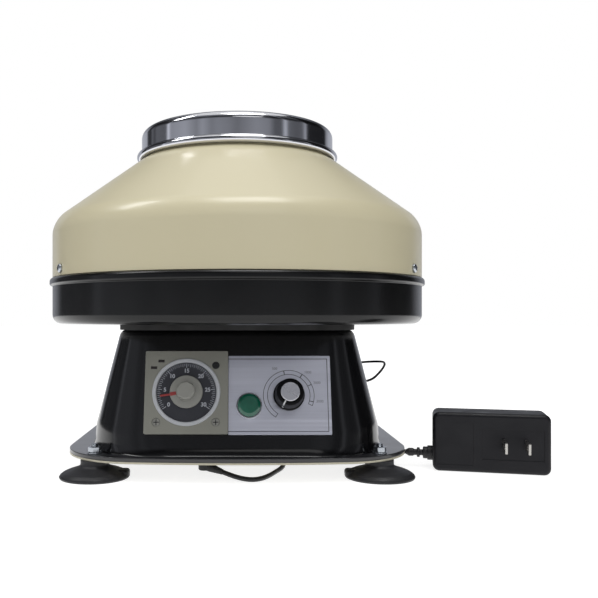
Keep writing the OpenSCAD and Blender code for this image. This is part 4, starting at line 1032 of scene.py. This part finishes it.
def at_shield(i):
    return (Matrix.Rotation(radians(45 + 90 * i), 4, "Z")
            @ shift((SHIELD_RING_R, 0, SHIELD_MID_Z)) @ Matrix.Rotation(-SHIELD_ANGLE, 4, "Y"))


def make_rotor():
    hub_r, hub_low, web = 12, FLOOR_Z + 36, FLOOR_Z + 46
    hub_top = hub_low + 20
    along = Vector((cos(SHIELD_ANGLE), sin(SHIELD_ANGLE)))
    down = Vector((sin(SHIELD_ANGLE), -cos(SHIELD_ANGLE))) * 2.5
    middle = Vector((SHIELD_RING_R, SHIELD_MID_Z))
    dish = [middle - 26 * along + down, middle + 14 * along + down, middle + 14 * along - down,
            middle - 26 * along - down]
    section = [
        (SHAFT_BORE_R, hub_low), (hub_r, hub_low, 0.5), (hub_r, web, 1), (dish[0].x - 2, web, 1),
        (*dish[0], 0.5), (*dish[1], 0.8), (*dish[2], 0.8), (*dish[3], 1), (hub_r, web + 5, 1.5),
        (hub_r, hub_top, 0.5), (SHAFT_BORE_R, hub_top)]
    bores = [placed(prism(64, SHIELD_R + 0.1, -12, 24), at_shield(i)) for i in range(4)]
    piece("angle_rotor", carved(turned(section, 160, 4), bores), ROTOR_METAL, "rotor_head",
          body="rotor")
    top = hub_low + 20.02
    nut = turned([(SHAFT_BORE_R, top), (9, top, 0.3), (9, top + 3, 0.5), (7, top + 3.1), (7, top + 11, 0.8),
                  (SHAFT_BORE_R, top + 11, 0.5)], 96, 3)
    ribbed(nut, top + 3.5, top + 10, 6, 24, 0.02)
    piece("rotor_lock_nut", nut, ROTOR_METAL, "rotor_nut", body="rotor")
    r, low_z = SHIELD_R, -SHIELD_L
    for i in range(4):
        shield = turned([
            (0, low_z), (r, low_z, 8.9), (r, 3.55), (11.5, 3.62, 0.4), (11.5, 6.6, 0.5), (r - 1, 6.6, 0.4),
            (r - 1, low_z + 1, 7.9), (0, low_z + 1)], 72, 6)
        piece("shield_%d" % (i + 1), shield, SHIELD_METAL, "tube_shield_%d" % (i + 1),
              at_shield(i), "rotor")


def finish_hidden_nodes():
    """Gives the CAD solids inside the case their finishes."""
    finishes = {
        ZINC: ["bowl_screws", "base_screws", "board_spacers"],
        PAD_RUBBER: ["motor_dampers"],
        MOTOR_STEEL: ["motor_plate", "motor_case"],
        BEARING_STEEL: ["motor_bearings", "motor_shaft", "pot_shaft"],
        COPPER: ["motor_armature"],
        TIMER_GREY: ["timer_case"],
        DARK_PLASTIC: ["timer_clamp", "speed_pot", "button_switch", "dc_jack"],
        BOARD_GREEN: ["circuit_board"],
        BOARD_PARTS: ["board_parts"],
    }
    for material, nodes in finishes.items():
        for node in nodes:
            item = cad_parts[node]
            item.data.materials.clear()
            item.data.materials.append(material)


# Light and floor

WHITE = (1, 1, 1, 1)
FLOOR_R = 6


def show(n, as_light, as_seen, output):
    """Sends one shader to camera, glossy and transmission rays, and the other to all the rest."""
    rays = n.add("LightPath")
    seen = rays.outputs["Is Camera Ray"]
    for name in ("Is Glossy Ray", "Is Transmission Ray"):
        seen = n.pair("Math", seen, rays.outputs[name], operation="MAXIMUM")
    mixed = n.pair("MixShader", as_light, as_seen, 1, Fac=seen)
    n.put(n.tree.nodes[output].inputs["Surface"], mixed)


def make_world(ambient, overhead):
    """White where it is seen; as light, softer at the horizon than overhead."""
    world = bpy.data.worlds.new("studio")
    bpy.context.scene.world = world
    n = Nodes(world)
    rise = n.add("SeparateXYZ", Vector=n.coords.node.outputs["Generated"]).outputs["Z"]
    lit = n.add("Background", Color=WHITE, Strength=n.span(rise, ambient, overhead, 0.0, 1.0))
    seen = n.add("Background", Color=WHITE)
    show(n, lit.outputs[0], seen.outputs[0], "World Output")


def stage_piece(name, bm, material):
    made = mesh_object(name, bm)
    made.data.materials.append(material)
    return made


def make_floor():
    """Nearly white where it is seen, with soft shadows and painted shade that dims its glow round the object,
    and pale grey as light.
    """
    material = bpy.data.materials.new("floor_white")
    n = Nodes(material)
    far = n.add("VectorMath", operation="LENGTH")
    n.put(far.inputs[0], n.coords)
    # painted shade: the glow falls from full white to 0.82 within 0.4 m of the middle, round and under the
    # object
    glow = n.add("Emission", Color=WHITE, Strength=n.span(far.outputs["Value"], 0.82, 1.0, 0.1, 0.4))
    matt = n.add("BsdfDiffuse", Color=(0.42, 0.42, 0.42, 1))
    plain = n.add("BsdfDiffuse", Color=(0.8, 0.8, 0.8, 1))
    bright = n.pair("AddShader", glow.outputs[0], matt.outputs[0])
    show(n, plain.outputs[0], bright, "Material Output")
    bm = bmesh.new()
    bmesh.ops.create_circle(bm, cap_ends=True, radius=FLOOR_R, segments=64)
    stage_piece("floor", bm, material)


# The room's bands are (share of the way round, level of grey)

ROOM_R, ROOM_H = 1.3, 2.4
ROOM_BANDS = [
    (0.00, 0.55), (0.128, 0.48), (0.14, 0.05), (0.165, 0.04), (0.172, 0.16), (0.19, 0.07), (0.20, 0.15),
    (0.252, 0.13), (0.262, 0.95), (0.27, 0.36), (0.33, 0.44), (0.37, 0.28), (0.39, 0.4), (0.42, 0.26),
    (0.44, 0.3), (0.47, 0.27), (0.5, 0.2), (0.56, 0.32), (0.60, 0.28), (0.62, 0.12), (0.645, 0.12),
    (0.656, 0.7), (0.667, 0.16), (0.70, 0.12), (0.725, 0.15), (0.736, 0.55), (0.744, 0.02),
    (0.845, 0.016), (0.86, 0.3), (0.88, 0.48), (1.00, 0.55)]


def make_room():
    """Walls that only shiny surfaces see: grey with upright bands, darkest about a metre up."""
    material = bpy.data.materials.new("room_walls")
    n = Nodes(material)
    split = n.add("SeparateXYZ", Vector=n.coords)
    backwards = n.pair("Math", split.outputs["Y"], -1.0, operation="MULTIPLY")
    angle = n.pair("Math", split.outputs["X"], backwards, operation="ARCTAN2")
    turn = n.span(angle, 0.0, 1.0, -pi, pi)
    bands = n.add("ValToRGB", Fac=turn)
    stops = bands.color_ramp.elements
    for i, (place, level) in enumerate(ROOM_BANDS):
        stop = stops[i] if i < 2 else stops.new(place)
        stop.position = place
        stop.color = (level * 0.97, level, level * 1.1, 1)
    fade = n.span(split.outputs["Z"], 1.0, 0.12, 0.55, 0.95)
    ceiling = n.span(split.outputs["Z"], 0.0, 0.5, 1.15, 1.7)
    strength = n.pair("Math", fade, ceiling, operation="ADD")
    glow = n.add("Emission", Color=bands.outputs["Color"], Strength=strength)
    n.put(n.tree.nodes["Material Output"].inputs["Surface"], glow.outputs[0])
    bm = bmesh.new()
    bmesh.ops.create_cone(bm, cap_ends=False, segments=96, radius1=ROOM_R, radius2=ROOM_R, depth=ROOM_H,
                          matrix=shift((0, 0, ROOM_H / 2)))
    room = stage_piece("room_walls", bm, material)
    room.visible_camera = room.visible_diffuse = False
    room.visible_shadow = room.visible_transmission = False


def area_light(name, place, aim, size, power):
    data = bpy.data.lights.new(name, "AREA")
    data.shape = "RECTANGLE"
    data.size, data.size_y = size
    data.energy = power
    lamp = linked(name, data)
    lamp.location = place
    lamp.rotation_euler = (Vector(aim) - Vector(place)).to_track_quat("-Z", "Y").to_euler()


def make_lights():
    area_light("lamp_ahead", (0.1, -0.35, 1.25), (0, 0, 0.1), (0.6, 0.4), 4.0)
    area_light("lamp_left", (-0.9, -0.1, 1.2), (0, 0, 0.1), (0.22, 0.5), 3.2)
    area_light("lamp_front_fill", (0.3, -1.3, 0.7), (0, 0, 0.12), (0.8, 0.8), 2.0)


bpy.context.scene.view_settings.view_transform = "Standard"
make_adapter()
make_plug()
make_cords()
make_lid()
make_cover()
make_bowl()
make_cover_screws()
make_housing()
make_plates()
make_feet()
make_studs()
make_timer_bezel()
make_dial()
make_timer_knob()
make_timer_small_parts()
make_face_plate()
make_speed_knob()
make_button()
make_side_fittings()
make_rotor()
finish_hidden_nodes()
make_world(0.25, 0.68)
make_floor()
make_room()
make_lights()
